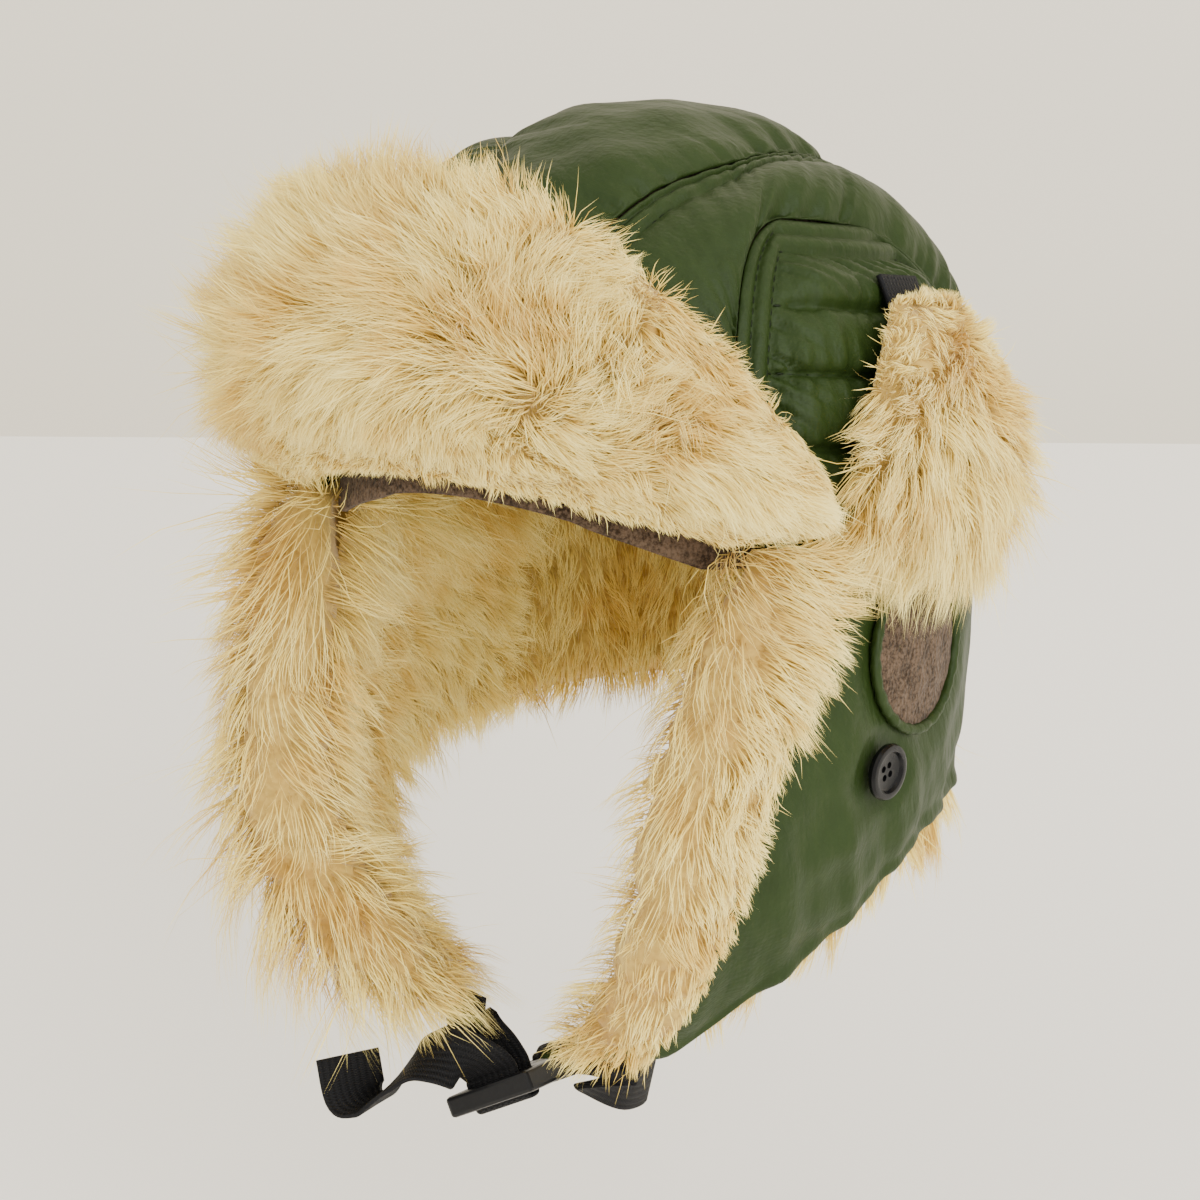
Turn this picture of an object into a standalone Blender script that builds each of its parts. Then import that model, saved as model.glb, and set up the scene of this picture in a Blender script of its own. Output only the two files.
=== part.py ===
"""Flight cap with turned-up visor, ear flaps, ear covers and a buckled chin strap, in metres."""

from math import atan, cos, exp, pi, sin, sqrt

import bmesh
import bpy
from mathutils import Matrix, Vector

# Worn position: the head band is low at the nape
WORN_TILT = atan(0.40)

# Crown
HALF_WIDTH = 0.096
HALF_LENGTH = 0.118
BAND_HEIGHT = 0.0155  # upright stretch above the head band
DOME_HEIGHT = 0.102
DOME_POWER = 2.2
HEM_ARCH = 0.013  # rise of the forehead hem over the head band
HEM_ARCH_HALF = 0.065
CENTER_HALF_WIDTH = 0.043  # widest half of the centre panel
ARCH_HEIGHT = 0.092  # side panel, an upside-down U
ARCH_PEAK_Y = -0.032
ARCH_FRONT = 0.053
ARCH_FRONT_POWER = 3.5
ARCH_BACK = 0.095
ARCH_BACK_POWER = 2.0
ARCH_TOP_SHARE = 0.985
QUILT_HEIGHTS = (0.026, 0.047, 0.066)
WALL = 0.0030  # padded cloth at a seam
PUFF = 0.0060
QUILT_PUFF = 0.0040
SEAM_GAP = 0.0006
LINING_WALL = 0.0020
LINING_DROP = 0.0030
QUILT_ROWS = 12  # three to each channel
ARCH_TOP_ROWS = 2
PANEL_ROWS = 2 * QUILT_ROWS + ARCH_TOP_ROWS

# Ear flaps and neck
FLAP_FRONT_Y = -0.075
FLAP_BACK_Y = 0.063
FLAP_BOW = 0.020
FLAP_PUFF = 0.0035
NECK_DROP = 0.066
FUR_INSIDE = 0.015
FUR_FRONT = 0.020
FUR_OUTSIDE = 0.012
FUR_TURN = 0.016  # width that lies on the outside of the flap
FUR_OVERHANG = 0.008
FUR_TOP = 0.0046  # start of the inner fur below the band, clear of the lining
FUR_END = 0.88  # share of the flap that the outer fur covers
FUR_TIP_END = 0.955  # and the fur round the front edge
TIP_SLIMMER = 0.4  # the front fur's loss of depth at the tip
STRAP_CLEAR = 0.0031  # between the flap's lower edge and the strap sewn there
FLAP_FUR_CLEAR = 0.0012
FUR_EDGE_CLEAR = 0.0021  # ahead of the flap's front edge
FUR_COLUMNS = (6, 4, 3)  # inside the flap, round its front edge and outside
FUR_TIP_MORE = 0.007  # extra depth of the inner fur at the tip
HANG_START = -0.095  # the right flap hangs further in and higher below this height
HANG_IN = 0.010
HANG_RISE = 0.006

# Visor
VISOR_LEFT = 1.00  # radians round from the front to each end
VISOR_RIGHT = 1.02
VISOR_HEIGHT = 0.070
VISOR_STAND = 0.006
VISOR_WALL = 0.0025
VISOR_FUR = 0.027

# Ear cover, patch, button and tab
COVER_Y = -0.013
COVER_BOTTOM = 0.003
COVER_TOP = 0.066
COVER_WIDTH = 0.070
COVER_TIP_SHARE = 0.30
COVER_WALL = 0.0025
COVER_FUR = 0.017
TAB_SIZE = (0.020, 0.018, 0.0016)
PATCH_Y = -0.012
PATCH_Z = -0.0340
PATCH_SIZE = (0.052, 0.050)
PATCH_WALL = 0.0018
PATCH_CLEAR = 0.0012  # off the bare flap, for the patch and its piping
PIPING_RADIUS = 0.0017
BUTTON_Y = -0.029
BUTTON_Z = -0.070
BUTTON_RADIUS = 0.0088
BUTTON_WALL = 0.0034
BUTTON_LIFT = 0.0016
BUTTON_HOLE = 0.0010
BUTTON_HOLE_OFFSET = 0.0019

# Chin strap and buckle
WEBBING_WIDTH = 0.020
WEBBING_WALL = 0.0014
BUCKLE_PLACE = (0.000, -0.070, -0.1860)
BUCKLE_TURN = -0.51  # radians about the cap's length
BUCKLE_LENGTH = 0.052
BUCKLE_JOIN = 0.031  # end of the female part
BUCKLE_WIDTH = 0.032
BUCKLE_WALL = 0.0068
BUCKLE_SKIN = 0.0014
SLOT = 0.0042
BAR = 0.0035
BUCKLE_ROUNDING = 0.0012
PRONG_WIDTH = 0.006
PART_GAP = 0.0003

# Depth under the band, then width, both as shares of FLAP_DEPTH and of the crown's half width
FLAP_DEPTH = 0.174
WALL_SHARES = (
    (0.00, 1.00),
    (0.17, 1.06),
    (0.35, 1.07),
    (0.52, 1.06),
    (0.63, 1.02),
    (0.75, 0.93),
    (0.86, 0.81),
    (0.95, 0.67),
    (1.00, 0.55),
)
# Flap lower edge from the tip to the neck: share along, y over half length, depth share
FLAP_EDGE = (
    (0.00, -0.565, 0.985),
    (0.18, -0.45, 0.965),
    (0.30, -0.41, 0.840),
    (0.50, -0.20, 0.690),
    (0.68, 0.10, 0.545),
    (1.00, 0.534, 0.490),
)
# Centre panel: share along from hem to nape, half width over the widest
CENTER_SHARES = (
    (0.00, 0.30),
    (0.15, 0.34),
    (0.28, 0.62),
    (0.40, 0.95),
    (0.50, 1.00),
    (0.70, 0.95),
    (1.00, 0.75),
)

# Visor top: place from the wearer's right end to the left end, height over VISOR_HEIGHT
VISOR_TOP = (
    (0.00, 0.50),
    (0.14, 0.80),
    (0.32, 1.00),
    (0.54, 1.00),
    (0.68, 0.88),
    (0.79, 0.70),
    (0.89, 0.46),
    (1.00, 0.12),
)
# Front and back of each strap where it is sewn to its flap, as shares along the flap
STRAP_SEWN = {1: (0.06, 0.16), -1: (0.0, 0.1)}
# Paths beside the buckle, from its place: X, Y and Z, then the strap's width direction
LEFT_LOOP = (
    (0.0305, 0.020, 0.0070, 0.8, -0.1, 0.5),
    (0.0310, 0.040, 0.0020, 0.3, 0.0, 0.9),
    (0.0250, 0.062, 0.0000, 0.1, 0.1, 1.0),
    (0.0100, 0.070, 0.0000, 0.5, 0.1, 0.8),
)
RIGHT_DROP = ((-0.0080, 0.0125, 0.0120, 0.75, -0.1, 0.6),)
TAIL_SHAPE = (
    (-0.0060, 0.0000, 0.0100, 0.8, 0.3, 0.4),
    (-0.0128, -0.0065, 0.0110, 0.4, 0.7, 0.5),
    (-0.0200, -0.0095, 0.0090, 0.1, 0.8, 0.6),
    (-0.0265, -0.0100, 0.0020, 0.1, 0.8, 0.5),
    (-0.0347, -0.0100, -0.0085, 0.3, 0.8, 0.3),
    (-0.0415, -0.0100, -0.0075, 0.7, 0.6, -0.1),
    (-0.0462, -0.0100, 0.0050, 0.8, 0.5, 0.1),
)

COLORS = {
    "nylon": (0.055, 0.095, 0.038, 1),
    "knit": (0.20, 0.15, 0.13, 1),
    "fur": (0.72, 0.60, 0.40, 1),
    "black": (0.012, 0.012, 0.013, 1),
}


def clear_scene():
    for found in list(bpy.data.objects):
        bpy.data.objects.remove(found, do_unlink=True)


def material(name, kind, roughness):
    made = bpy.data.materials.new(name)
    made.use_nodes = True
    shader = made.node_tree.nodes["Principled BSDF"]
    shader.inputs["Base Color"].default_value = COLORS[kind]
    shader.inputs["Roughness"].default_value = roughness
    made.diffuse_color = COLORS[kind]
    return made


def read_table(table, share, column=1):
    """A smooth value between the table's rows."""
    share = min(max(share, table[0][0]), table[-1][0])
    for low, high in zip(table, table[1:]):
        if share <= high[0]:
            t = (share - low[0]) / (high[0] - low[0])
            t = t * t * (3 - 2 * t) if column == 1 else t
            return low[column] + (high[column] - low[column]) * t
    return table[-1][column]


def blend(a, b, t):
    return a + (b - a) * t


def bump(t, power=0.6):
    return max(sin(pi * min(max(t, 0.0), 1.0)), 0.0) ** power


# Surface of the crown and of the walls that hang from it


def wall_share(z):
    """Size of the level outline at a height, over its size at the band."""
    if z > BAND_HEIGHT:
        up = min((z - BAND_HEIGHT) / DOME_HEIGHT, 0.9999)
        return (1 - up**DOME_POWER) ** (1 / DOME_POWER)
    if z < 0:
        return read_table(WALL_SHARES, -z / FLAP_DEPTH)
    return 1.0


def wall_point(y, z, side=1):
    """The point of the side wall at this length and height."""
    share = wall_share(z)
    along = min(abs(y) / (HALF_LENGTH * share), 0.995)
    return Vector((side * HALF_WIDTH * share * sqrt(1 - along * along), y, z))


def ring_point(angle, z):
    """The point at an angle round from the front, positive to the wearer's left."""
    share = wall_share(z)
    return Vector((HALF_WIDTH * share * sin(angle), -HALF_LENGTH * share * cos(angle), z))


def seat(point):
    """Moves a point onto the crown: level below the dome, straight out from its centre above."""
    x = point.x / HALF_WIDTH
    y = point.y / HALF_LENGTH
    radius = max(sqrt(x * x + y * y), 1e-6)
    up = (point.z - BAND_HEIGHT) / DOME_HEIGHT
    if up <= 0:
        return Vector((point.x / radius, point.y / radius, point.z))
    scale = (radius**DOME_POWER + up**DOME_POWER) ** (-1 / DOME_POWER)
    return Vector((point.x * scale, point.y * scale, BAND_HEIGHT + up * DOME_HEIGHT * scale))


def outward(point):
    """The crown's or wall's outward direction."""
    x = point.x / HALF_WIDTH
    y = point.y / HALF_LENGTH
    radius = max(sqrt(x * x + y * y), 1e-6)
    if point.z <= BAND_HEIGHT:
        step = 0.002
        slope = (wall_share(point.z + step) - wall_share(point.z - step)) / (2 * step)
        lean = -slope * (HALF_WIDTH + HALF_LENGTH) / 2 if point.z < 0 else 0.0
        level = Vector((x / HALF_WIDTH, y / HALF_LENGTH, 0)).normalized()
        return (level + Vector((0, 0, lean))).normalized()
    up = (point.z - BAND_HEIGHT) / DOME_HEIGHT
    level = radius ** (DOME_POWER - 2)
    rise = up ** (DOME_POWER - 1) / DOME_HEIGHT
    return Vector((level * x / HALF_WIDTH, level * y / HALF_LENGTH, rise)).normalized()


def hem_height(x, y):
    """Height of the crown's lower edge: arched over the forehead, level elsewhere."""
    if y > 0:
        return SEAM_GAP / 2
    return SEAM_GAP / 2 + HEM_ARCH * max(1 - (x / HEM_ARCH_HALF) ** 2, 0)


# Solids


def add_object(name, bm, made, parent):
    mesh = bpy.data.meshes.new(name)
    bm.to_mesh(mesh)
    bm.free()
    added = bpy.data.objects.new(name, mesh)
    added.data.materials.append(made)
    added.parent = parent
    collection.objects.link(added)
    mesh.shade_smooth()
    mesh.set_sharp_from_angle(angle=0.7)
    return added


def hang(point):
    """The right flap's lower part hangs further in and higher than the left one's."""
    if point.x >= 0 or point.z > HANG_START:
        return point
    share = min((HANG_START - point.z) / (FLAP_DEPTH + HANG_START), 1.1) ** 2
    return point + Vector((HANG_IN * share, 0, HANG_RISE * share))


def sheet(name, columns, rows, place, made, parent, mirrored=False, tufts=None):
    """A closed shell: place(u, v) gives its outer and inner point, and tufts raise the outer cells."""
    bm = bmesh.new()
    sides = []
    for side in (0, 1):
        grid = bmesh.ops.create_grid(bm, x_segments=columns, y_segments=rows, size=0.5)["verts"]
        for vert in grid:
            u = min(max(vert.co.x + 0.5, 0.0), 1.0)
            v = min(max(vert.co.y + 0.5, 0.0), 1.0)
            vert.co = place(u, v)[side]
        sides.append({face for vert in grid for face in vert.link_faces})
    bmesh.ops.reverse_faces(bm, faces=list(sides[1]))
    rim = [edge for edge in bm.edges if edge.is_boundary]
    bmesh.ops.bridge_loops(bm, edges=rim)
    bmesh.ops.recalc_face_normals(bm, faces=bm.faces)
    if tufts:
        add_tufts(bm, [face for face in sides[0] if face.is_valid], tufts)
    if mirrored:
        bmesh.ops.transform(bm, matrix=Matrix.Scale(-1, 4, (1, 0, 0)), verts=bm.verts)
        bmesh.ops.reverse_faces(bm, faces=bm.faces)
    if name.startswith("ear_flap"):
        for vert in bm.verts:
            vert.co = hang(vert.co)
    if bm.calc_volume(signed=True) < 0:
        bmesh.ops.reverse_faces(bm, faces=bm.faces)
    return add_object(name, bm, made, parent)


def add_tufts(bm, faces, tufts):
    """Raises the middle of each cell into a leaning lock of fur."""
    height, lean = tufts
    for number, face in enumerate(sorted(faces, key=lambda f: tuple(f.calc_center_median()))):
        if len(face.verts) != 4:
            continue
        normal = face.normal.copy()
        width = sqrt(face.calc_area())
        vary = 0.65 + 0.35 * sin(number * 2.4)
        tip = bmesh.ops.poke(bm, faces=[face])["verts"][0]
        tip.co += normal * height * vary + lean(tip.co) * width * 0.45 * vary


# Crown


def center_half(share):
    return CENTER_HALF_WIDTH * read_table(CENTER_SHARES, share)


def over_the_top(share, x):
    """A point on the crown on the way from the forehead hem over the top to the nape."""
    top = BAND_HEIGHT + DOME_HEIGHT
    raised = Vector((x, -HALF_LENGTH * cos(pi * share), top * sin(pi * share)))
    raised.z = max(raised.z, hem_height(x, raised.y))
    return seat(raised)


def arch_point(share):
    """The side panel's outline in side view, from its front foot over its top to its back foot."""
    row = share * PANEL_ROWS
    if row <= QUILT_ROWS:
        z = quilt_height(row / QUILT_ROWS)
        return Vector((arch_end(z, -1), z))
    if row >= QUILT_ROWS + ARCH_TOP_ROWS:
        z = quilt_height((PANEL_ROWS - row) / QUILT_ROWS)
        return Vector((arch_end(z, 1), z))
    z = quilt_height(1)
    across = (row - QUILT_ROWS) / ARCH_TOP_ROWS
    return Vector((blend(arch_end(z, -1), arch_end(z, 1), across), z + SEAM_GAP))


def arch_end(z, way):
    """Where the side panel ends at a height, towards the front (-1) or the back (1)."""
    half = ARCH_FRONT if way < 0 else ARCH_BACK
    power = ARCH_FRONT_POWER if way < 0 else ARCH_BACK_POWER
    share = min(max(z, 0.0) / ARCH_HEIGHT, 0.999)
    return ARCH_PEAK_Y + way * half * (1 - share**power) ** (1 / power)


def padded(point, lift, wall=WALL):
    normal = outward(point)
    return point + normal * lift, point - normal * wall


def center_panel(made, parent):
    def place(u, v):
        x = (2 * u - 1) * (center_half(v) - SEAM_GAP / 2)
        lift = PUFF * bump(u) * bump(v, 0.7)
        return padded(over_the_top(v, x), lift)

    sheet("crown_center_panel", 6, PANEL_ROWS, place, made, parent)


def upper_panel(side, made, parent):
    """The arched panel between the centre panel and the side panel."""

    def place(u, v):
        near = over_the_top(v, center_half(v))
        flat = arch_point(v)
        far = wall_point(flat.x, flat.y)
        edge = SEAM_GAP / 2 / (far - near).length
        point = near.lerp(far, edge + u * (1 - 2 * edge))
        point.z = max(point.z, hem_height(point.x, point.y))
        lift = PUFF * bump(u) * bump(v, 0.7)
        return padded(seat(point), lift)

    name = "crown_upper_panel_" + SIDES[side]
    sheet(name, 5, PANEL_ROWS, place, made, parent, mirrored=side < 0)


def quilt_lift(z):
    """The puff between two quilting lines."""
    lines = (0.0, *QUILT_HEIGHTS, ARCH_HEIGHT * ARCH_TOP_SHARE)
    for low, high in zip(lines, lines[1:]):
        if z <= high:
            return bump((z - low) / (high - low))
    return 0.0


def quilt_height(share):
    """The same number of rows in each channel, so that each quilting line has its own row."""
    lines = (SEAM_GAP / 2, *QUILT_HEIGHTS, ARCH_HEIGHT * ARCH_TOP_SHARE - SEAM_GAP / 2)
    channel = min(int(share * (len(lines) - 1) + 1e-6), len(lines) - 2)
    return blend(lines[channel], lines[channel + 1], share * (len(lines) - 1) - channel)


def side_panel(side, made, parent):
    def place(u, v):
        z = quilt_height(v)
        front = arch_end(z, -1) + SEAM_GAP / 2
        back = arch_end(z, 1) - SEAM_GAP / 2
        lift = QUILT_PUFF * quilt_lift(z) * bump(u, 0.4)
        return padded(wall_point(blend(front, back, u), z), lift)

    name = "crown_side_panel_" + SIDES[side]
    sheet(name, 9, QUILT_ROWS, place, made, parent, mirrored=side < 0)


def crown_lining(made, parent):
    """The knit lining, a thin dome inside the panels that shows under the forehead hem."""
    bm = bmesh.new()
    bmesh.ops.create_uvsphere(bm, u_segments=22, v_segments=12, radius=1)
    low = [vert for vert in bm.verts if vert.co.z < -0.3]
    bmesh.ops.delete(bm, geom=low, context="VERTS")
    floor = min(vert.co.z for vert in bm.verts)
    for vert in bm.verts:
        x, y, up = vert.co.x * HALF_WIDTH, vert.co.y * HALF_LENGTH, vert.co.z
        if up < 0:
            hem = hem_height(x, y) - LINING_DROP
            point = seat(Vector((x, y, blend(BAND_HEIGHT, hem, up / floor))))
        else:
            point = seat(Vector((x, y, BAND_HEIGHT + up * DOME_HEIGHT)))
        vert.co = point - outward(point) * (WALL + SEAM_GAP + PART_GAP)
    lining = add_object("crown_lining", bm, made, parent)
    wall = lining.modifiers.new("Wall", "SOLIDIFY")
    wall.thickness = LINING_WALL
    wall.offset = -1


# Ear flaps and neck


def flap_place(s, v):
    """Length and height of a point of the flap: s from its front edge to the neck, v down.

    v runs on past 1 for what hangs below the flap's edge.
    """
    top = Vector((blend(FLAP_FRONT_Y, FLAP_BACK_Y, s), -SEAM_GAP / 2))
    edge_y = read_table(FLAP_EDGE, s, 1) * HALF_LENGTH
    edge_z = -read_table(FLAP_EDGE, s, 2) * FLAP_DEPTH
    point = top.lerp(Vector((edge_y, edge_z)), v)
    point.x -= FLAP_BOW * bump(v, 1.5) * (1 - s) ** 2
    return point


def patch_mask(y, z):
    """0 where the ear patch and its piping lie, 1 away from them."""
    across = (y - PATCH_Y) / (PATCH_SIZE[0] * 0.62)
    down = (z - PATCH_Z) / (PATCH_SIZE[1] * 0.62)
    far = across * across + down * down
    near_button = ((y - BUTTON_Y) ** 2 + (z - BUTTON_Z) ** 2) / (BUTTON_RADIUS * 1.4) ** 2
    return (1 - exp(-(far**3) * 0.7)) * (1 - exp(-(near_button**3) * 0.7))


def toward_tip(v):
    """Sets the rows closer together where the flap curves under the jaw."""
    return v * (1.4 - 0.4 * v)


def ear_flap(side, made, parent):
    def place(u, v):
        v = toward_tip(v)
        flat = flap_place(u * (1 - SEAM_GAP / 2 / (FLAP_BACK_Y - FLAP_FRONT_Y)), v)
        folds = 1 + 0.5 * sin(9 * v - 5 * u)
        lift = FLAP_PUFF * bump(u) * bump(v) * folds * patch_mask(flat.x, flat.y)
        return padded(wall_point(flat.x, flat.y), lift)

    sheet("ear_flap_" + SIDES[side], 10, 13, place, made, parent, mirrored=side < 0)


def turned_fur(s, v, turn):
    """Base point, outward direction of the hair and its depth, round the flap's front edge.

    turn is 0 inside the flap, 1 at its front edge and 2 on its outside.
    """
    flat = flap_place(s, v)
    point = wall_point(flat.x, flat.y)
    normal = outward(point)
    behind = flap_place(min(s + 0.05, 1), v)
    forward = (point - wall_point(behind.x, behind.y)).normalized()
    wider = 0.7 + 1.3 * v * v
    clear = FLAP_FUR_CLEAR * wider
    inside = point - normal * (WALL + clear)
    outside = point + normal * (FLAP_PUFF * 1.6 + clear)
    if turn <= 0:
        return inside, -normal
    if turn >= 2:
        return outside, normal
    angle = pi * turn / 2
    base = inside.lerp(outside, turn / 2) + forward * FUR_EDGE_CLEAR * (wider + sin(angle))
    return base, (forward * sin(angle) - normal * cos(angle)).normalized()


def flap_fur_place(u, v):
    """The fur from the neck seam over the inside, round the front edge and onto the outside."""
    inside_part = FUR_COLUMNS[0] / sum(FUR_COLUMNS)
    turn_part = 1 - FUR_COLUMNS[2] / sum(FUR_COLUMNS)
    width = blend(FUR_TURN, FUR_TURN / 3, v**3) / (FLAP_BACK_Y - FLAP_FRONT_Y)
    inside_depth = FUR_INSIDE + FUR_TIP_MORE * v**2
    if u < inside_part:
        s, turn = (1 - u / inside_part) * 0.99, 0.0
        depth = inside_depth * (0.45 + 0.55 * min(u / inside_part * 3, 1))
    elif u < turn_part:
        s, turn = 0.0, 2 * (u - inside_part) / (turn_part - inside_part)
        side_depth = inside_depth if turn < 1 else FUR_OUTSIDE
        front_depth = FUR_FRONT * (1 - TIP_SLIMMER * v**4)
        depth = blend(side_depth, front_depth, sin(pi * turn / 2))
    else:
        share = (u - turn_part) / (1 - turn_part)
        s, turn = share * width, 2.0
        depth = FUR_OUTSIDE * sqrt(1 - share**2 * 0.9)
    back_end = 1 + FUR_OVERHANG / FLAP_DEPTH
    end = blend(FUR_TIP_END, back_end, min(s / 0.3, 1))
    end = blend(end, FUR_END, max(turn - 1, 0))
    start = FUR_TOP / (read_table(FLAP_EDGE, s, 2) * FLAP_DEPTH)
    down = blend(start, end, toward_tip(v))
    base, away = turned_fur(s, down, turn)
    return base + away * depth * (0.35 + 0.65 * bump(0.06 + 0.88 * v, 0.4)), base


def flap_fur(side, made, parent):
    def lean(point):
        return Vector((0, 0.35 if point.y > -0.08 else -0.25, -1)).normalized()

    name = "ear_flap_fur_" + SIDES[side]
    sheet(name, sum(FUR_COLUMNS), 10, flap_fur_place, made, parent, side < 0, tufts=(0.005, lean))


def neck_edge(angle):
    """Depth of the neck panel's lower edge, which meets the flaps' edges."""
    seam = FLAP_EDGE[-1][2] * FLAP_DEPTH
    share = (pi - abs(angle)) / (pi - neck_start())
    return blend(NECK_DROP, seam, share**2)


def neck_start():
    """The angle from the front to the seam between the flap and the neck."""
    low, high = pi / 2, pi
    for _ in range(30):
        middle = (low + high) / 2
        if -cos(middle) * HALF_LENGTH < FLAP_BACK_Y:
            low = middle
        else:
            high = middle
    return low


def neck_point(u, v, extra=0.0):
    """u from the left seam round the back to the right seam, v down."""
    start = neck_start()
    angle = blend(start, 2 * pi - start, u)
    centered = angle if angle < pi else angle - 2 * pi
    z = blend(-SEAM_GAP / 2, -neck_edge(centered) - extra, v)
    share = wall_share(z)
    y = -HALF_LENGTH * cos(angle)
    edge = abs(u - 0.5) * 2
    # The ends keep to the flap's straight seam while the wall under the band changes size
    y = blend(y * share, FLAP_BACK_Y + SEAM_GAP / 2, edge**6)
    x = HALF_WIDTH * share * sqrt(max(1 - (y / (HALF_LENGTH * share)) ** 2, 0))
    return Vector((x if angle < pi else -x, y, z))


def neck_panel(made, parent):
    def place(u, v):
        return padded(neck_point(u, v), FLAP_PUFF * bump(u) * bump(v))

    sheet("neck_panel", 15, 4, place, made, parent)


def neck_fur(made, parent):
    def place(u, v):
        point = neck_point(0.012 + 0.976 * u, blend(0.12, 1, v), FUR_OVERHANG)
        normal = outward(point)
        depth = FUR_INSIDE * (0.45 + 0.55 * bump(u, 0.4)) * (0.5 + 0.5 * bump(v, 0.5))
        base = point - normal * (WALL + FLAP_FUR_CLEAR + PART_GAP)
        return base - normal * depth, base

    def lean(point):
        return Vector((0, 0, -1))

    sheet("neck_fur", 13, 4, place, made, parent, tufts=(0.006, lean))


# Visor


def visor_point(u, v, lift):
    """u from the wearer's right to the left, v up from the forehead hem."""
    foot = ring_point(blend(-VISOR_RIGHT, VISOR_LEFT, u), 0.0)
    top = VISOR_HEIGHT * read_table(VISOR_TOP, u)
    z = hem_height(foot.x, foot.y) + 0.002 + v * top
    normal = Vector((foot.x / HALF_WIDTH**2, foot.y / HALF_LENGTH**2, 0)).normalized()
    share = v * top / VISOR_HEIGHT
    stand = 3 * PART_GAP + VISOR_WALL + PUFF * min(0.15 + share * 6, 1) + VISOR_STAND * share
    return Vector((foot.x, foot.y, z)) + normal * (stand + lift)


def visor_backing(made, parent):
    def place(u, v):
        return visor_point(u, v, 0), visor_point(u, v, -VISOR_WALL)

    sheet("visor_backing", 18, 5, place, made, parent)


def visor_fur(made, parent):
    def place(u, v):
        depth = VISOR_FUR * (0.35 + 0.65 * bump(u, 0.3)) * bump(0.12 + 0.80 * v**0.8, 0.5)
        rise = Vector((0, 0, 0.010 * v**3 - 0.008 * (1 - v) ** 3 * bump(u, 0.5)))
        return visor_point(u, v, PART_GAP + depth) + rise, visor_point(u, v, PART_GAP * 1.5)

    def lean(point):
        return Vector((0.4 * (1 if point.x > 0 else -1), 0, 1)).normalized()

    sheet("visor_fur", 18, 5, place, made, parent, tufts=(0.008, lean))


# Ear cover, patch, button and tab


def cover_point(u, v, lift):
    """u across from front to back, v up from the fold to the tip."""
    z = blend(COVER_BOTTOM, COVER_TOP, v)
    half = COVER_WIDTH / 2 * (COVER_TIP_SHARE + (1 - COVER_TIP_SHARE) * bump(0.28 + 0.69 * v, 0.8))
    point = wall_point(COVER_Y + (2 * u - 1) * half, z)
    over_quilting = QUILT_PUFF * min(0.6 + 4 * v, 1)
    over_tab = (TAB_SIZE[2] + PART_GAP) * min(2 * v, 1)
    return point + outward(point) * (PART_GAP + over_quilting + over_tab + COVER_WALL + lift)


def ear_cover(side, made, parent):
    def place(u, v):
        return cover_point(u, v, 0), cover_point(u, v, -COVER_WALL)

    sheet("ear_cover_" + SIDES[side], 6, 7, place, made, parent, mirrored=side < 0)


def ear_cover_fur(side, made, parent):
    def place(u, v):
        depth = COVER_FUR * (0.35 + 0.65 * bump(u, 0.5)) * (0.22 + 0.78 * bump(0.12 + 0.83 * v, 0.6))
        spread = Vector((0, (2 * u - 1) * 0.006, -0.012 * (1 - v) ** 3))
        return cover_point(u, v, PART_GAP + depth) + spread, cover_point(u, v, PART_GAP)

    def lean(point):
        return Vector((0, 0.3, -1)).normalized()

    name = "ear_cover_fur_" + SIDES[side]
    sheet(name, 6, 8, place, made, parent, side < 0, tufts=(0.008, lean))


def hook_tab(side, made, parent):
    """The black hook-and-loop tab that holds the tip of the raised cover."""
    width, height, wall = TAB_SIZE

    def place(u, v):
        z = COVER_TOP - 0.55 * height + v * height
        point = wall_point(COVER_Y - 0.7 * width + u * width, z)
        normal = outward(point)
        foot = QUILT_PUFF + PART_GAP
        return point + normal * (foot + wall), point + normal * foot

    sheet("hook_tab_" + SIDES[side], 3, 3, place, made, parent, mirrored=side < 0)


def ear_patch(side, made, parent):
    def place(u, v):
        # A square turned into a disc
        a, b = 2 * u - 1, 2 * v - 1
        across = a * sqrt(1 - b * b / 2) * (PATCH_SIZE[0] / 2 - PIPING_RADIUS - PART_GAP)
        up = b * sqrt(1 - a * a / 2) * (PATCH_SIZE[1] / 2 - PIPING_RADIUS - PART_GAP)
        point = wall_point(PATCH_Y + across, PATCH_Z + up)
        normal = outward(point)
        return point + normal * (PATCH_CLEAR + PATCH_WALL), point + normal * PATCH_CLEAR

    sheet("ear_patch_" + SIDES[side], 5, 5, place, made, parent, mirrored=side < 0)


def patch_piping(side, made, parent):
    """The nylon piping round the patch."""
    data = bpy.data.curves.new("piping", "CURVE")
    data.dimensions = "3D"
    data.bevel_depth = PIPING_RADIUS
    data.bevel_resolution = 1
    steps = 20
    spline = data.splines.new("POLY")
    spline.points.add(steps - 1)
    spline.use_cyclic_u = True
    for step in range(steps):
        angle = 2 * pi * step / steps
        y = PATCH_Y + PATCH_SIZE[0] / 2 * cos(angle)
        z = PATCH_Z + PATCH_SIZE[1] / 2 * sin(angle)
        point = wall_point(y, z, side)
        place = point + outward(point) * (PATCH_CLEAR + PIPING_RADIUS)
        spline.points[step].co = (*place, 1)
    added = bpy.data.objects.new("patch_piping_" + SIDES[side], data)
    data.materials.append(made)
    added.parent = parent
    collection.objects.link(added)


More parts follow.
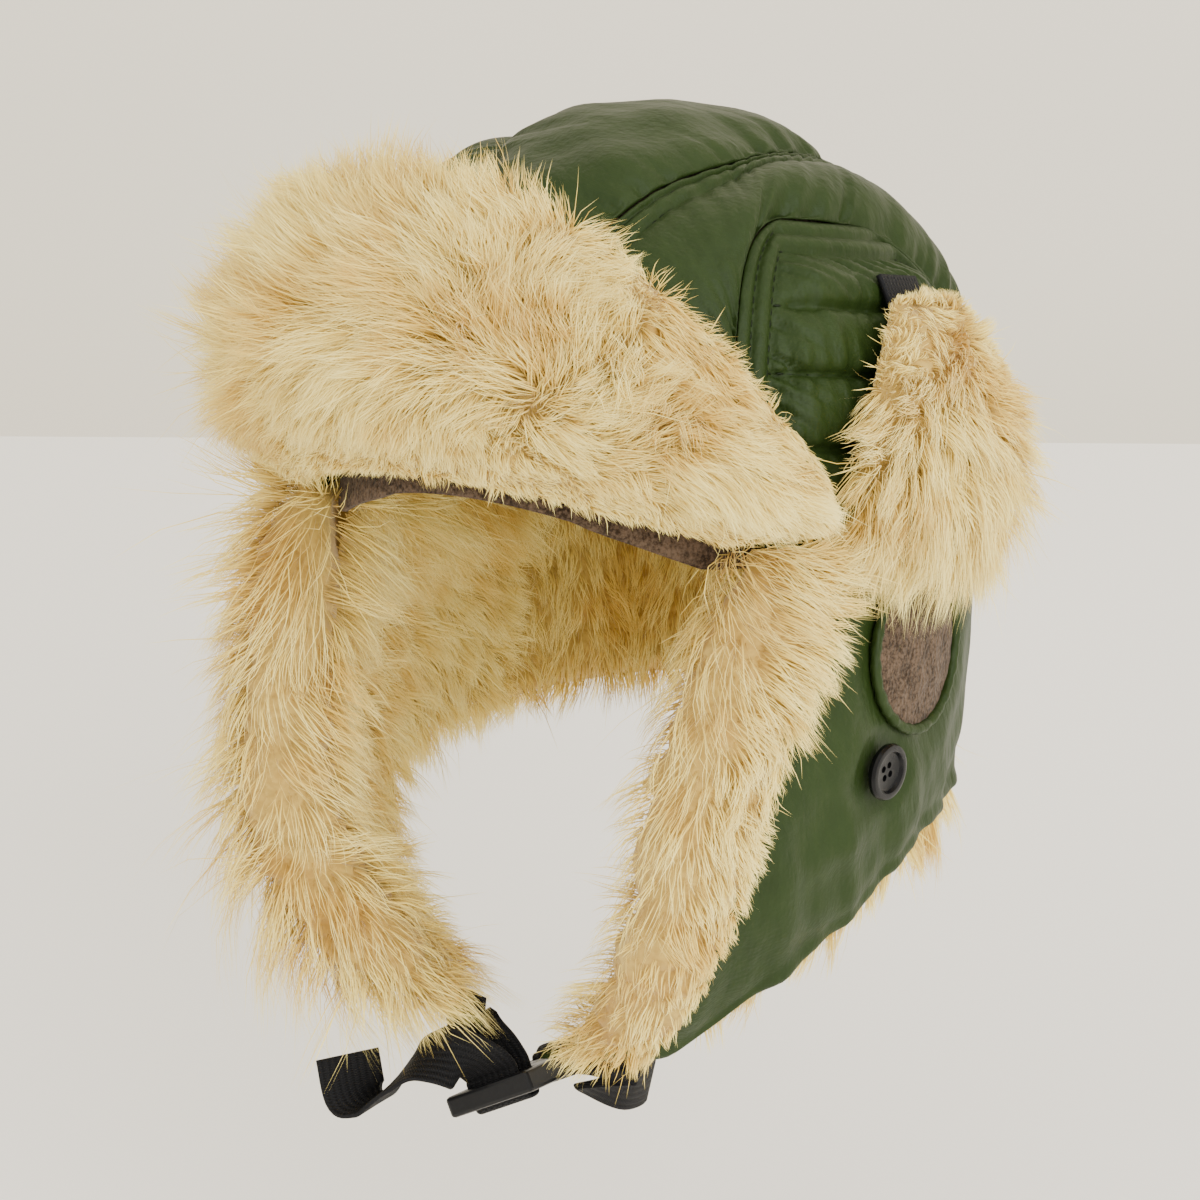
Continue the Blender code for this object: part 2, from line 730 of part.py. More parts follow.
def button(side, made, parent):
    """A four-hole button that lies flat on the flap."""
    bm = bmesh.new()
    bmesh.ops.create_cone(
        bm,
        cap_ends=True,
        segments=16,
        radius1=BUTTON_RADIUS * 0.9,
        radius2=BUTTON_RADIUS,
        depth=BUTTON_WALL,
    )
    top = max(bm.faces, key=lambda face: face.calc_center_median().z)
    bmesh.ops.inset_region(bm, faces=[top], thickness=BUTTON_RADIUS * 0.28, depth=0)
    bmesh.ops.inset_region(bm, faces=[top], thickness=0.0006, depth=-0.0012)
    point = wall_point(BUTTON_Y, BUTTON_Z, side)
    normal = outward(point)
    turn = normal.to_track_quat("Z", "Y").to_matrix().to_4x4()
    place = Matrix.Translation(point + normal * (BUTTON_LIFT + BUTTON_WALL / 2)) @ turn
    added = add_object("button_" + SIDES[side], bm, made, parent)
    added.matrix_local = place
    for number in range(4):
        angle = pi / 4 + number * pi / 2
        offset = BUTTON_HOLE_OFFSET
        hole = cylinder("button_hole", BUTTON_HOLE, BUTTON_WALL * 3, 8)
        hole.parent = parent
        hole.matrix_local = place @ Matrix.Translation((offset * cos(angle), offset * sin(angle), 0))
        cut(added, hole)


def cylinder(name, radius, depth, segments):
    bm = bmesh.new()
    bmesh.ops.create_cone(
        bm, cap_ends=True, segments=segments, radius1=radius, radius2=radius, depth=depth
    )
    mesh = bpy.data.meshes.new(name)
    bm.to_mesh(mesh)
    bm.free()
    return add_cutter(name, mesh)


def add_cutter(name, mesh):
    added = bpy.data.objects.new(name, mesh)
    added.hide_render = True
    added.display_type = "WIRE"
    cutters.objects.link(added)
    return added


def cut(target, cutter):
    made = target.modifiers.new("Cut", "BOOLEAN")
    made.operation = "DIFFERENCE"
    made.solver = "EXACT"
    made.object = cutter


# Chin strap and buckle


def box_mesh(name, low, high):
    bm = bmesh.new()
    bmesh.ops.create_cube(bm, size=1)
    size = [b - a for a, b in zip(low, high)]
    middle = [(a + b) / 2 for a, b in zip(low, high)]
    bmesh.ops.scale(bm, vec=size, verts=bm.verts)
    bmesh.ops.translate(bm, vec=middle, verts=bm.verts)
    mesh = bpy.data.meshes.new(name)
    bm.to_mesh(mesh)
    bm.free()
    return mesh


def smooth_path(points, steps):
    """A curve through the points, with the same number of steps between each two."""
    line = []
    ends = [points[0] * 2 - points[1], *points, points[-1] * 2 - points[-2]]
    for a, b, c, d in zip(ends, ends[1:], ends[2:], ends[3:]):
        for step in range(steps):
            t = step / steps
            line.append(
                0.5
                * (
                    2 * b
                    + (c - a) * t
                    + (2 * a - 5 * b + 4 * c - d) * t * t
                    + (3 * b - a - 3 * c + d) * t**3
                )
            )
    line.append(points[-1].copy())
    return line


def webbing(name, sections, made, parent):
    """A flat strap through sections, each the strap's middle and the direction of its width."""
    middles = smooth_path([Vector(middle) for middle, _ in sections], 2)
    widths = smooth_path([Vector(width) for _, width in sections], 2)
    bm = bmesh.new()
    rings = []
    for number, (middle, width) in enumerate(zip(middles, widths)):
        ahead = middles[min(number + 1, len(middles) - 1)]
        tangent = (ahead - middles[max(number - 1, 0)]).normalized()
        width = (width - tangent * width.dot(tangent)).normalized() * WEBBING_WIDTH / 2
        thick = tangent.cross(width).normalized() * WEBBING_WALL / 2
        corners = (width + thick, thick - width, -width - thick, width - thick)
        rings.append([bm.verts.new(middle + corner) for corner in corners])
    for ring, following in zip(rings, rings[1:]):
        for number in range(4):
            last = (number + 1) % 4
            bm.faces.new((ring[number], ring[last], following[last], following[number]))
    bm.faces.new(rings[0])
    bm.faces.new(rings[-1])
    bmesh.ops.recalc_face_normals(bm, faces=bm.faces)
    return add_object(name, bm, made, parent)


def slotted_box(name, low, high, holes, made, parent):
    """A moulded piece: a rounded box with box-shaped openings."""
    added = bpy.data.objects.new(name, box_mesh(name, low, high))
    added.data.materials.append(made)
    added.parent = parent
    collection.objects.link(added)
    edge = added.modifiers.new("Rounding", "BEVEL")
    edge.width = BUCKLE_ROUNDING
    edge.segments = 2
    for hole_low, hole_high in holes:
        hole = add_cutter(name + "_hole", box_mesh("hole", hole_low, hole_high))
        hole.parent = parent
        cut(added, hole)
    return added


def buckle(made, parent):
    """The two halves, in the buckle's own place: X across, Y from the female end to the male."""
    half = BUCKLE_WIDTH / 2
    mouth = half - BUCKLE_SKIN
    rise = BUCKLE_WALL / 2
    cavity = rise - BUCKLE_SKIN
    bar_half = WEBBING_WIDTH / 2 + 0.001
    inner = 3 * BAR + 2 * SLOT
    first = ((-bar_half, BAR, -2 * rise), (bar_half, BAR + SLOT, 2 * rise))
    second = ((-bar_half, 2 * BAR + SLOT, -2 * rise), (bar_half, 2 * (BAR + SLOT), 2 * rise))
    hollow = ((-mouth, inner, -cavity), (mouth, 2 * BUCKLE_JOIN, cavity))
    windows = ((-half * 2, inner + 0.002, -cavity), (half * 2, BUCKLE_JOIN - 0.005, cavity))
    low, high = (-half, 0, -rise), (half, BUCKLE_JOIN, rise)
    slotted_box("buckle_female", low, high, (first, second, hollow, windows), made, parent)
    slot = (
        (-bar_half, BUCKLE_LENGTH - BAR - SLOT, -2 * rise),
        (bar_half, BUCKLE_LENGTH - BAR, 2 * rise),
    )
    low, high = (-half, BUCKLE_JOIN + PART_GAP, -rise), (half, BUCKLE_LENGTH, rise)
    male = slotted_box("buckle_male", low, high, (slot,), made, parent)
    prong = cavity - PART_GAP
    for low_x, high_x in (
        (PART_GAP - mouth, PRONG_WIDTH - mouth),
        (-PRONG_WIDTH / 3, PRONG_WIDTH / 3),
        (mouth - PRONG_WIDTH, mouth - PART_GAP),
    ):
        low = (low_x, inner + PART_GAP * 2, -prong)
        high = (high_x, BUCKLE_JOIN + PRONG_WIDTH / 2, prong)
        added = add_cutter("prong", box_mesh("prong", low, high))
        added.parent = parent
        joined = male.modifiers.new("Prong", "BOOLEAN")
        joined.operation = "UNION"
        joined.solver = "EXACT"
        joined.object = added


def buckle_matrix():
    return Matrix.Translation(BUCKLE_PLACE) @ Matrix.Rotation(BUCKLE_TURN, 4, "Y")


def flap_tip_sections(side):
    """The strap's start, sewn to the flap's lower edge at its tip."""
    corners = []
    for share in STRAP_SEWN[side]:
        flat = flap_place(share, 1)
        point = wall_point(flat.x, flat.y, side)
        corners.append(hang(point - outward(point) * WALL / 2))
    front, back = corners
    width = (front - back) * side
    width.z = 0
    start = (front + back) / 2 - Vector((0, 0, STRAP_CLEAR))
    return [(start, width), (start - Vector((0, 0, 0.002)), width)]


def buckle_sections(steps):
    """Sections at these Y and Z in the buckle's own place."""
    place = buckle_matrix()
    across = place.to_3x3() @ Vector((1, 0, 0))
    return [(place @ Vector((0, y, z)), across) for y, z in steps]


def free_sections(table):
    middle = Vector(BUCKLE_PLACE)
    return [(middle + Vector(row[:3]), Vector(row[3:])) for row in table]


def chin_straps(made, parent):
    """Both webbing straps: each is sewn to its flap's tip and goes through its buckle part."""
    rise = BUCKLE_WALL / 2
    clear = rise + WEBBING_WALL / 2 + PART_GAP
    hole = BUCKLE_LENGTH - BAR - SLOT / 2
    bar = BUCKLE_LENGTH - BAR / 2
    beyond = BUCKLE_LENGTH + SLOT / 2
    round_the_end = (
        (beyond + 0.003, clear + 0.001),
        (bar, clear + 0.0004),
        (hole + 0.0008, clear),
        (hole, rise - 0.001),
        (hole, 0.0),
        (hole, 0.001 - rise),
        (hole + 0.0008, -clear),
        (bar, -clear - 0.0004),
        (beyond + 0.005, -clear),
    )
    left = flap_tip_sections(1) + free_sections(LEFT_LOOP) + buckle_sections(round_the_end)
    webbing("strap_left", left, made, parent)
    outer = BAR + SLOT / 2
    inner = outer + BAR + SLOT
    under_the_bar = (
        (inner, clear + 0.003),
        (inner, clear),
        (inner, 0.0),
        (inner, 0.001 - rise),
        (inner - 0.0008, -clear),
        ((inner + outer) / 2, -clear - 0.0004),
        (outer + 0.0008, -clear),
        (outer, 0.001 - rise),
        (outer, 0.0),
        (outer, clear),
        (outer, clear + 0.002),
    )
    right = flap_tip_sections(-1) + free_sections(RIGHT_DROP)
    right += buckle_sections(under_the_bar) + free_sections(TAIL_SHAPE)
    webbing("strap_right", right, made, parent)


SIDES = {1: "left", -1: "right"}

clear_scene()
collection = bpy.data.collections.new("flight_cap")
cutters = bpy.data.collections.new("cutters")
for group in (collection, cutters):
    bpy.context.scene.collection.children.link(group)
cap = bpy.data.objects.new("worn_tilt", None)
cap.rotation_euler.x = -WORN_TILT
collection.objects.link(cap)

center_panel(material("center_nylon", "nylon", 0.5), cap)
crown_lining(material("lining_knit", "knit", 0.9), cap)
neck_panel(material("neck_nylon", "nylon", 0.5), cap)
neck_fur(material("neck_fur", "fur", 0.9), cap)
visor_backing(material("visor_nylon", "nylon", 0.5), cap)
visor_fur(material("visor_fur", "fur", 0.9), cap)
for hand, word in SIDES.items():
    upper_panel(hand, material("upper_nylon_" + word, "nylon", 0.5), cap)
    side_panel(hand, material("side_nylon_" + word, "nylon", 0.5), cap)
    ear_flap(hand, material("flap_nylon_" + word, "nylon", 0.5), cap)
    flap_fur(hand, material("flap_fur_" + word, "fur", 0.9), cap)
    ear_cover(hand, material("cover_nylon_" + word, "nylon", 0.5), cap)
    ear_cover_fur(hand, material("cover_fur_" + word, "fur", 0.9), cap)
    hook_tab(hand, material("tab_black_" + word, "black", 0.8), cap)
    ear_patch(hand, material("patch_knit_" + word, "knit", 0.9), cap)
    patch_piping(hand, material("piping_nylon_" + word, "nylon", 0.5), cap)
    button(hand, material("button_plastic_" + word, "black", 0.3), cap)
buckle_place = bpy.data.objects.new("buckle_place", None)
buckle_place.matrix_local = buckle_matrix()
buckle_place.parent = cap
collection.objects.link(buckle_place)
buckle(material("buckle_plastic", "black", 0.35), buckle_place)
chin_straps(material("webbing_black", "black", 0.7), cap)
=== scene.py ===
# Flight cap: padded nylon shell, pile fur, knit lining and a buckled chin strap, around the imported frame
from math import atan, cos, pi, radians, sin

import bmesh
import bpy
import numpy as np
from mathutils import Matrix, Vector
from mathutils.kdtree import KDTree


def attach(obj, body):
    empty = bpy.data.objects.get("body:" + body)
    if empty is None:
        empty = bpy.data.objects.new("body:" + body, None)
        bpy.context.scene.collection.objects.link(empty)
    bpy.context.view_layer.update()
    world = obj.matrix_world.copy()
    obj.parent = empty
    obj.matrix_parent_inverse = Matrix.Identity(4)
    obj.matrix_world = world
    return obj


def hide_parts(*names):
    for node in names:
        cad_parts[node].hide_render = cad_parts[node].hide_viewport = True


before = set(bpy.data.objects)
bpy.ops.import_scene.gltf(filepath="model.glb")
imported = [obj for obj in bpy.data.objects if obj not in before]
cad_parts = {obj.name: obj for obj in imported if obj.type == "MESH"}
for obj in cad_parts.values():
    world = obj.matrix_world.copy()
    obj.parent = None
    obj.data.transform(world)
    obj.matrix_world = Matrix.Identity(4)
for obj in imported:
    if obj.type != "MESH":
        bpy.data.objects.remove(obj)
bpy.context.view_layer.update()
scene = bpy.context.scene

# Sizes of the cap, in metres, in its own upright frame, before it is tilted back
shell = {
    "tilt": atan(0.40),
    "halfWidth": 0.096,
    "halfLength": 0.118,
    "bandHeight": 0.0155,
    "domeHeight": 0.102,
    "domePower": 2.2,
    "hemArch": 0.013,
    "hemArchHalf": 0.065,
    "wall": 0.0030,
    "puff": 0.0060,
    "seamGap": 0.0006,
    "flapDepth": 0.174,
    "wallDown": (0.00, 0.17, 0.35, 0.52, 0.63, 0.75, 0.86, 0.95, 1.00),
    "wallShare": (1.00, 1.06, 1.07, 1.06, 1.02, 0.93, 0.81, 0.67, 0.55),
    "centerHalf": 0.043,
    "centerAlong": (0.00, 0.15, 0.28, 0.40, 0.50, 0.70, 1.00),
    "centerShare": (0.30, 0.34, 0.62, 0.95, 1.00, 0.95, 0.75),
}
side = {
    "archHeight": 0.092,
    "archPeakY": -0.032,
    "archFront": 0.054,
    "archFrontPower": 2.5,
    "archBack": 0.095,
    "archBackPower": 2.0,
    "archTopShare": 0.985,
    "quiltHeights": (0.026, 0.047, 0.066),
    "quiltPuff": 0.0052,
}
flap = {
    "frontY": -0.075,
    "backY": 0.063,
    "bow": 0.020,
    "puff": 0.0035,
    "along": (0.00, 0.18, 0.30, 0.50, 0.68, 1.00),
    "edgeY": (-0.565, -0.45, -0.41, -0.20, 0.10, 0.534),
    "edgeDown": (0.985, 0.965, 0.840, 0.690, 0.545, 0.490),
    "hangStart": -0.095,
    "hangIn": 0.010,
    "hangRise": 0.006,
    "neckDrop": 0.066,
}


halfWidth, halfLength, flapDepth = shell["halfWidth"], shell["halfLength"], shell["flapDepth"]
bandHeight, domeHeight, halfGap = shell["bandHeight"], shell["domeHeight"], shell["seamGap"] / 2
hands = (("left", False), ("right", True))  # and whether a side mirrors the left one
thickness = {"crown": 0.0025, "flap": 0.0028, "cover": 0.0022, "knit": 0.0018, "tape": 0.0016, "skin": 0.0015}


# Smooth values and fields


def through(xs, ys, x):
    # a monotone cubic through the table's rows
    xs, ys = np.asarray(xs, float), np.asarray(ys, float)
    step = np.diff(xs)
    slope = np.diff(ys) / step
    tangent = np.zeros(len(xs))
    inner = slope[:-1] * slope[1:] > 0
    tangent[1:-1][inner] = 2 / (1 / slope[:-1][inner] + 1 / slope[1:][inner])
    tangent[0], tangent[-1] = slope[0], slope[-1]
    x = np.clip(x, xs[0], xs[-1])
    k = np.clip(np.searchsorted(xs, x, side="right") - 1, 0, len(step) - 1)
    t = (x - xs[k]) / step[k]
    a, b = ys[k], ys[k + 1]
    m, n = tangent[k] * step[k], tangent[k + 1] * step[k]
    return (2 * t**3 - 3 * t**2 + 1) * a + (t**3 - 2 * t**2 + t) * m + (3 * t**2 - 2 * t**3) * b + (
        t**3 - t**2
    ) * n


def bump(t, power=0.6):
    return np.maximum(np.sin(pi * np.clip(t, 0, 1)), 0) ** power


def ramp(x, low, high):
    t = np.clip((x - low) / (high - low), 0, 1)
    return t * t * (3 - 2 * t)


def ripple(points, scale, seed, octaves=7):
    # soft noise from -1 to 1, about one swing in each stretch of scale
    turn = np.random.default_rng(seed)
    total = np.zeros(len(points))
    for _ in range(octaves):
        way = turn.normal(size=points.shape[1])
        way *= 2 * pi / scale * turn.uniform(0.6, 1.5) / np.linalg.norm(way)
        total += np.sin(points @ way + turn.uniform(0, 2 * pi))
    return total / np.sqrt(octaves)


def unit(vectors):
    return vectors / np.maximum(np.linalg.norm(vectors, axis=1, keepdims=True), 1e-12)


# The crown and the walls that hang from it


def wallShareAt(z):
    up = np.clip((z - bandHeight) / domeHeight, 0, 0.9999)
    dome = (1 - up ** shell["domePower"]) ** (1 / shell["domePower"])
    hung = through(shell["wallDown"], shell["wallShare"], -z / flapDepth)
    return np.where(z > 0, dome, hung)


def wallPoint(y, z):
    share = wallShareAt(z)
    along = np.minimum(np.abs(y) / (halfLength * share), 0.995)
    return np.stack([halfWidth * share * np.sqrt(1 - along**2), y + 0 * z, z + 0 * y], 1)


def seat(points):
    x, y, z = points.T
    radius = np.maximum(np.hypot(x / halfWidth, y / halfLength), 1e-6)
    up = (z - bandHeight) / domeHeight
    power = shell["domePower"]
    scale = (radius**power + np.maximum(up, 1e-9) ** power) ** (-1 / power)
    low = up <= 0
    scale = np.where(low, 1 / radius, scale)
    height = np.where(low, z, bandHeight + up * domeHeight * scale)
    return np.stack([x * scale, y * scale, height], 1)


def outward(points):
    x, y, z = points[:, 0] / halfWidth, points[:, 1] / halfLength, points[:, 2]
    level = unit(np.stack([x / halfWidth, y / halfLength, 0 * x], 1))
    slope = (wallShareAt(np.minimum(z + 0.002, 0)) - wallShareAt(z - 0.002)) / 0.004
    lean = np.where(z < 0, -slope * (halfWidth + halfLength) / 2, 0)
    hung = unit(level + np.stack([0 * x, 0 * x, lean], 1))
    up = np.maximum((z - bandHeight) / domeHeight, 0)
    radius = np.maximum(np.hypot(x, y), 1e-6)
    flat = radius ** (shell["domePower"] - 2)
    rise = up ** (shell["domePower"] - 1) / domeHeight
    dome = unit(np.stack([flat * x / halfWidth, flat * y / halfLength, rise], 1))
    return np.where((z <= bandHeight)[:, None], hung, dome)


def raised(points, lift):
    return points + outward(points) * np.reshape(lift, (-1, 1))


def hemHeight(x, y):
    arch = np.maximum(1 - (x / shell["hemArchHalf"]) ** 2, 0)
    return halfGap + np.where(y > 0, 0, shell["hemArch"] * arch)


def overTheTop(share, x):
    top = bandHeight + domeHeight
    y = -halfLength * np.cos(pi * share)
    z = np.maximum(top * np.sin(pi * share), hemHeight(x, y))
    return seat(np.stack([x, y, z], 1))


def centerHalfAt(share):
    return shell["centerHalf"] * through(shell["centerAlong"], shell["centerShare"], share)


def archEnd(z, way):
    half, power = (
        (side["archFront"], side["archFrontPower"]) if way < 0 else (side["archBack"], side["archBackPower"])
    )
    share = np.clip(z / side["archHeight"], 0, 0.999)
    return side["archPeakY"] + way * half * (1 - share**power) ** (1 / power)


def archOutline(share):
    # the side panel's outline: up its front leg, over its top and down its back leg
    top = side["archHeight"] * side["archTopShare"]
    front = share * 26 / 12
    back = (1 - share) * 26 / 12
    across = np.clip((share * 26 - 12) / 2, 0, 1)
    z = top * np.clip(np.minimum(front, back), 0, 1)
    start, end = archEnd(z, -1), archEnd(z, 1)
    y = np.where(front <= 1, start, np.where(back <= 1, end, start + (end - start) * across))
    return y, z


def hang(points):
    # the right flap hangs further in and higher below a height
    share = np.clip((flap["hangStart"] - points[:, 2]) / (flapDepth + flap["hangStart"]), 0, 1.1) ** 2
    share = np.where(points[:, 0] < 0, share, 0)
    return points + np.stack([flap["hangIn"] * share, 0 * share, flap["hangRise"] * share], 1)


def flapPlace(s, v):
    edgeY = through(flap["along"], flap["edgeY"], s) * halfLength
    edgeZ = -through(flap["along"], flap["edgeDown"], s) * flapDepth
    topY = flap["frontY"] + (flap["backY"] - flap["frontY"]) * s
    y = topY + (edgeY - topY) * v - flap["bow"] * bump(v, 1.5) * (1 - s) ** 2
    return y, edgeZ * v


def worn(points):
    # from the cap's upright frame to the frame of the record
    c, s = cos(shell["tilt"]), sin(shell["tilt"])
    x, y, z = points.T
    return np.stack([x, y * c + z * s, z * c - y * s], 1)


def flipped(points, mirrored):
    return points * (-1 if mirrored else 1, 1, 1)


# Meshes


def makeObject(name, mesh, material, smooth=True):
    mesh.materials.append(material)
    if smooth:
        mesh.shade_smooth()
    made = bpy.data.objects.new(name, mesh)
    scene.collection.objects.link(made)
    return made


def ridePiece(made, slot, *nodes):
    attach(made, "root")
    if nodes:
        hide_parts(*nodes)
    return made


def finishMesh(bm, name):
    mesh = bpy.data.meshes.new(name)
    bm.to_mesh(mesh)
    bm.free()
    return mesh


def cleanMesh(mesh, merge=0.0):
    # closes seams and poles, and turns every face of a closed or open shape the same way
    bm = bmesh.new()
    bm.from_mesh(mesh)
    if merge:
        bmesh.ops.remove_doubles(bm, verts=bm.verts, dist=merge)
    bmesh.ops.recalc_face_normals(bm, faces=bm.faces)
    bm.to_mesh(mesh)
    bm.free()
    return mesh


def gridMesh(name, columns, rows, surface, mirrored=False):
    # surface takes u across and v along from 0 to 1 and gives points in the cap's upright frame
    bm = bmesh.new()
    bmesh.ops.create_grid(bm, x_segments=columns, y_segments=rows, size=0.5, calc_uvs=False)
    mesh = finishMesh(bm, name)
    flat = np.empty(len(mesh.vertices) * 3)
    mesh.vertices.foreach_get("co", flat)
    uv = np.clip(flat.reshape(-1, 3)[:, :2] + 0.5, 0, 1)
    points = flipped(surface(uv[:, 0], uv[:, 1]), mirrored)
    if mirrored:
        mesh.flip_normals()
    mesh.vertices.foreach_set("co", worn(hang(points)).ravel())
    corners = np.empty(len(mesh.loops), int)
    mesh.loops.foreach_get("vertex_index", corners)
    layer = mesh.uv_layers.new(name="cloth")
    layer.data.foreach_set("uv", uv[corners].ravel())
    mesh.update()
    return mesh


def faceData(mesh):
    count = len(mesh.polygons) * 3
    centers, normals = np.empty(count), np.empty(count)
    mesh.polygons.foreach_get("center", centers)
    mesh.polygons.foreach_get("normal", normals)
    return centers.reshape(-1, 3), normals.reshape(-1, 3)


def faceOutwards(mesh, middle=(0, 0.02, 0.0)):
    # turns an open sheet's faces away from the cap's middle
    centers, normals = faceData(mesh)
    if ((centers - middle) * normals).sum() < 0:
        mesh.flip_normals()


def ringFaces(rings, sides, closed):
    faces = []
    for k in range(rings if closed else rings - 1):
        here, there = k * sides, (k + 1) % rings * sides
        for n in range(sides):
            m = (n + 1) % sides
            faces.append((here + n, here + m, there + m, there + n))
    return faces


def addWall(made, thickness):
    wall = made.modifiers.new("Wall", "SOLIDIFY")
    wall.thickness = thickness
    wall.offset = -1
    wall.use_even_offset = False
    return made


def joinedCopies(name, template, places):
    # one mesh from many placed copies of a small one: places are 4 x 4 arrays
    count = len(template.vertices)
    base = np.empty(count * 3)
    template.vertices.foreach_get("co", base)
    base = np.c_[base.reshape(-1, 3), np.ones(count)]
    points = np.einsum("kij,nj->kni", places, base)[:, :, :3].reshape(-1, 3)
    faces = [tuple(p.vertices) for p in template.polygons]
    allFaces = [tuple(v + k * count for v in face) for k in range(len(places)) for face in faces]
    mesh = bpy.data.meshes.new(name)
    mesh.from_pydata(points.tolist(), [], allFaces)
    return mesh


# Shader node groups


def newGroup(name, inputs, outputs):
    group = bpy.data.node_groups.new(name, "ShaderNodeTree")
    for label, kind, value in inputs:
        socket = group.interface.new_socket(name=label, in_out="INPUT", socket_type=kind)
        socket.default_value = value
    for label, kind in outputs:
        group.interface.new_socket(name=label, in_out="OUTPUT", socket_type=kind)
    start = group.nodes.new("NodeGroupInput")
    end = group.nodes.new("NodeGroupOutput")
    return group, start, end


def feed(tree, node, inputs):
    # gives each input a value, a colour or another node's output
    for label, value in inputs.items():
        socket = node.inputs[label]
        if isinstance(value, bpy.types.NodeSocket):
            tree.links.new(value, socket)
        else:
            socket.default_value = (*value, 1) if socket.type == "RGBA" else value


def addNode(tree, kind, inputs, **settings):
    node = tree.nodes.new("ShaderNode" + kind)
    for label, value in settings.items():
        setattr(node, label, value)
    feed(tree, node, inputs)
    return node


def mathNode(tree, kind, a, b=0.0):
    return addNode(tree, "Math", {0: a, 1: b}, operation=kind).outputs[0]


def sumNode(tree, a, partA, b, partB):
    return mathNode(tree, "ADD", mathNode(tree, "MULTIPLY", a, partA), mathNode(tree, "MULTIPLY", b, partB))


def mixNode(tree, kind, factor, a, b):
    return addNode(tree, "Mix", {0: factor, 6: a, 7: b}, data_type="RGBA", blend_type=kind).outputs[2]


def noiseNode(tree, vector, scale, detail=3.0, roughness=0.5):
    inputs = {"Detail": detail, "Roughness": roughness, "Scale": scale, "Vector": vector}
    return addNode(tree, "TexNoise", inputs).outputs[0]


def ramped(tree, value, low, high):
    inputs = {"From Min": low, "From Max": high, "Value": value}
    return addNode(tree, "MapRange", inputs, interpolation_type="SMOOTHSTEP").outputs[0]


def bumpNode(tree, height, strength, distance, before=None):
    inputs = {"Strength": strength, "Distance": distance, "Height": height}
    if before is not None:
        inputs["Normal"] = before
    return addNode(tree, "Bump", inputs).outputs[0]


def coordinates(tree):
    return addNode(tree, "TexCoord", {}).outputs["Object"]


def stretched(tree, where, up):
    return addNode(tree, "Mapping", {"Scale": (1, 1, up), "Vector": where}).outputs[0]


def strandPlace(tree, layer):
    # across and along a strand or a strap
    place = addNode(tree, "UVMap", {}, uv_map=layer).outputs[0]
    split = addNode(tree, "SeparateXYZ", {0: place})
    return split.outputs["X"], split.outputs["Y"]


def weaveGroup():
    # a plain weave: two crossing sets of threads, with slubs
    group, start, end = newGroup(
        "plainWeave",
        (("Vector", "NodeSocketVector", (0, 0, 0)), ("Threads", "NodeSocketFloat", 1000.0)),
        (("Height", "NodeSocketFloat"), ("Mottle", "NodeSocketFloat")),
    )
    split = addNode(group, "SeparateXYZ", {0: start.outputs["Vector"]})
    waves = []
    for first, second in ((0, 2), (1, 2)):
        across = mathNode(group, "ADD", split.outputs[first], split.outputs[second])
        turned = mathNode(group, "MULTIPLY", across, start.outputs["Threads"])
        waves.append(mathNode(group, "SINE", turned))
    height = mathNode(group, "MULTIPLY", waves[0], waves[1])
    group.links.new(height, end.inputs["Height"])
    mottle = noiseNode(group, start.outputs["Vector"], 60.0, 5.0, 0.6)
    group.links.new(mottle, end.inputs["Mottle"])
    return group


def baseMaterial(name, color, roughness, **inputs):
    material = bpy.data.materials.new(name)
    material.use_nodes = True
    tree = material.node_tree
    shader = tree.nodes["Principled BSDF"]
    named = {label.replace("_", " "): value for label, value in inputs.items()}
    feed(tree, shader, {"Base Color": color, "Roughness": roughness, **named})
    return material, tree, shader


weave = weaveGroup()


def nylonMaterial(name, settings):
    color, roughness = settings["color"], settings["roughness"]
    material, tree, shader = baseMaterial(name, color, roughness, Specular_IOR_Level=0.16)
    where = coordinates(tree)
    cloth = addNode(tree, "Group", {"Threads": settings["threads"], "Vector": where}, node_tree=weave)
    long = stretched(tree, where, 0.35)
    streaks = noiseNode(tree, long, 260.0, 4.0, 0.6)
    patches = noiseNode(tree, where, 22.0, 3.0, 0.5)
    tone = sumNode(tree, streaks, 0.5, patches, 0.5)
    mottle = mathNode(tree, "MULTIPLY", cloth.outputs["Mottle"], 0.2)
    soft = bumpNode(tree, noiseNode(tree, long, 60.0, 4.0, 0.6), 0.6, 0.0042)
    crumple = bumpNode(tree, noiseNode(tree, where, 130.0, 4.0, 0.6), 0.4, 0.0012, soft)
    finished = {
        "Base Color": mixNode(tree, "MIX", tone, settings["dark"], settings["light"]),
        "Roughness": mathNode(tree, "ADD", mottle, roughness - 0.1),
        "Normal": bumpNode(tree, cloth.outputs["Height"], 0.25, 0.0001, crumple),
    }
    feed(tree, shader, finished)
    return material


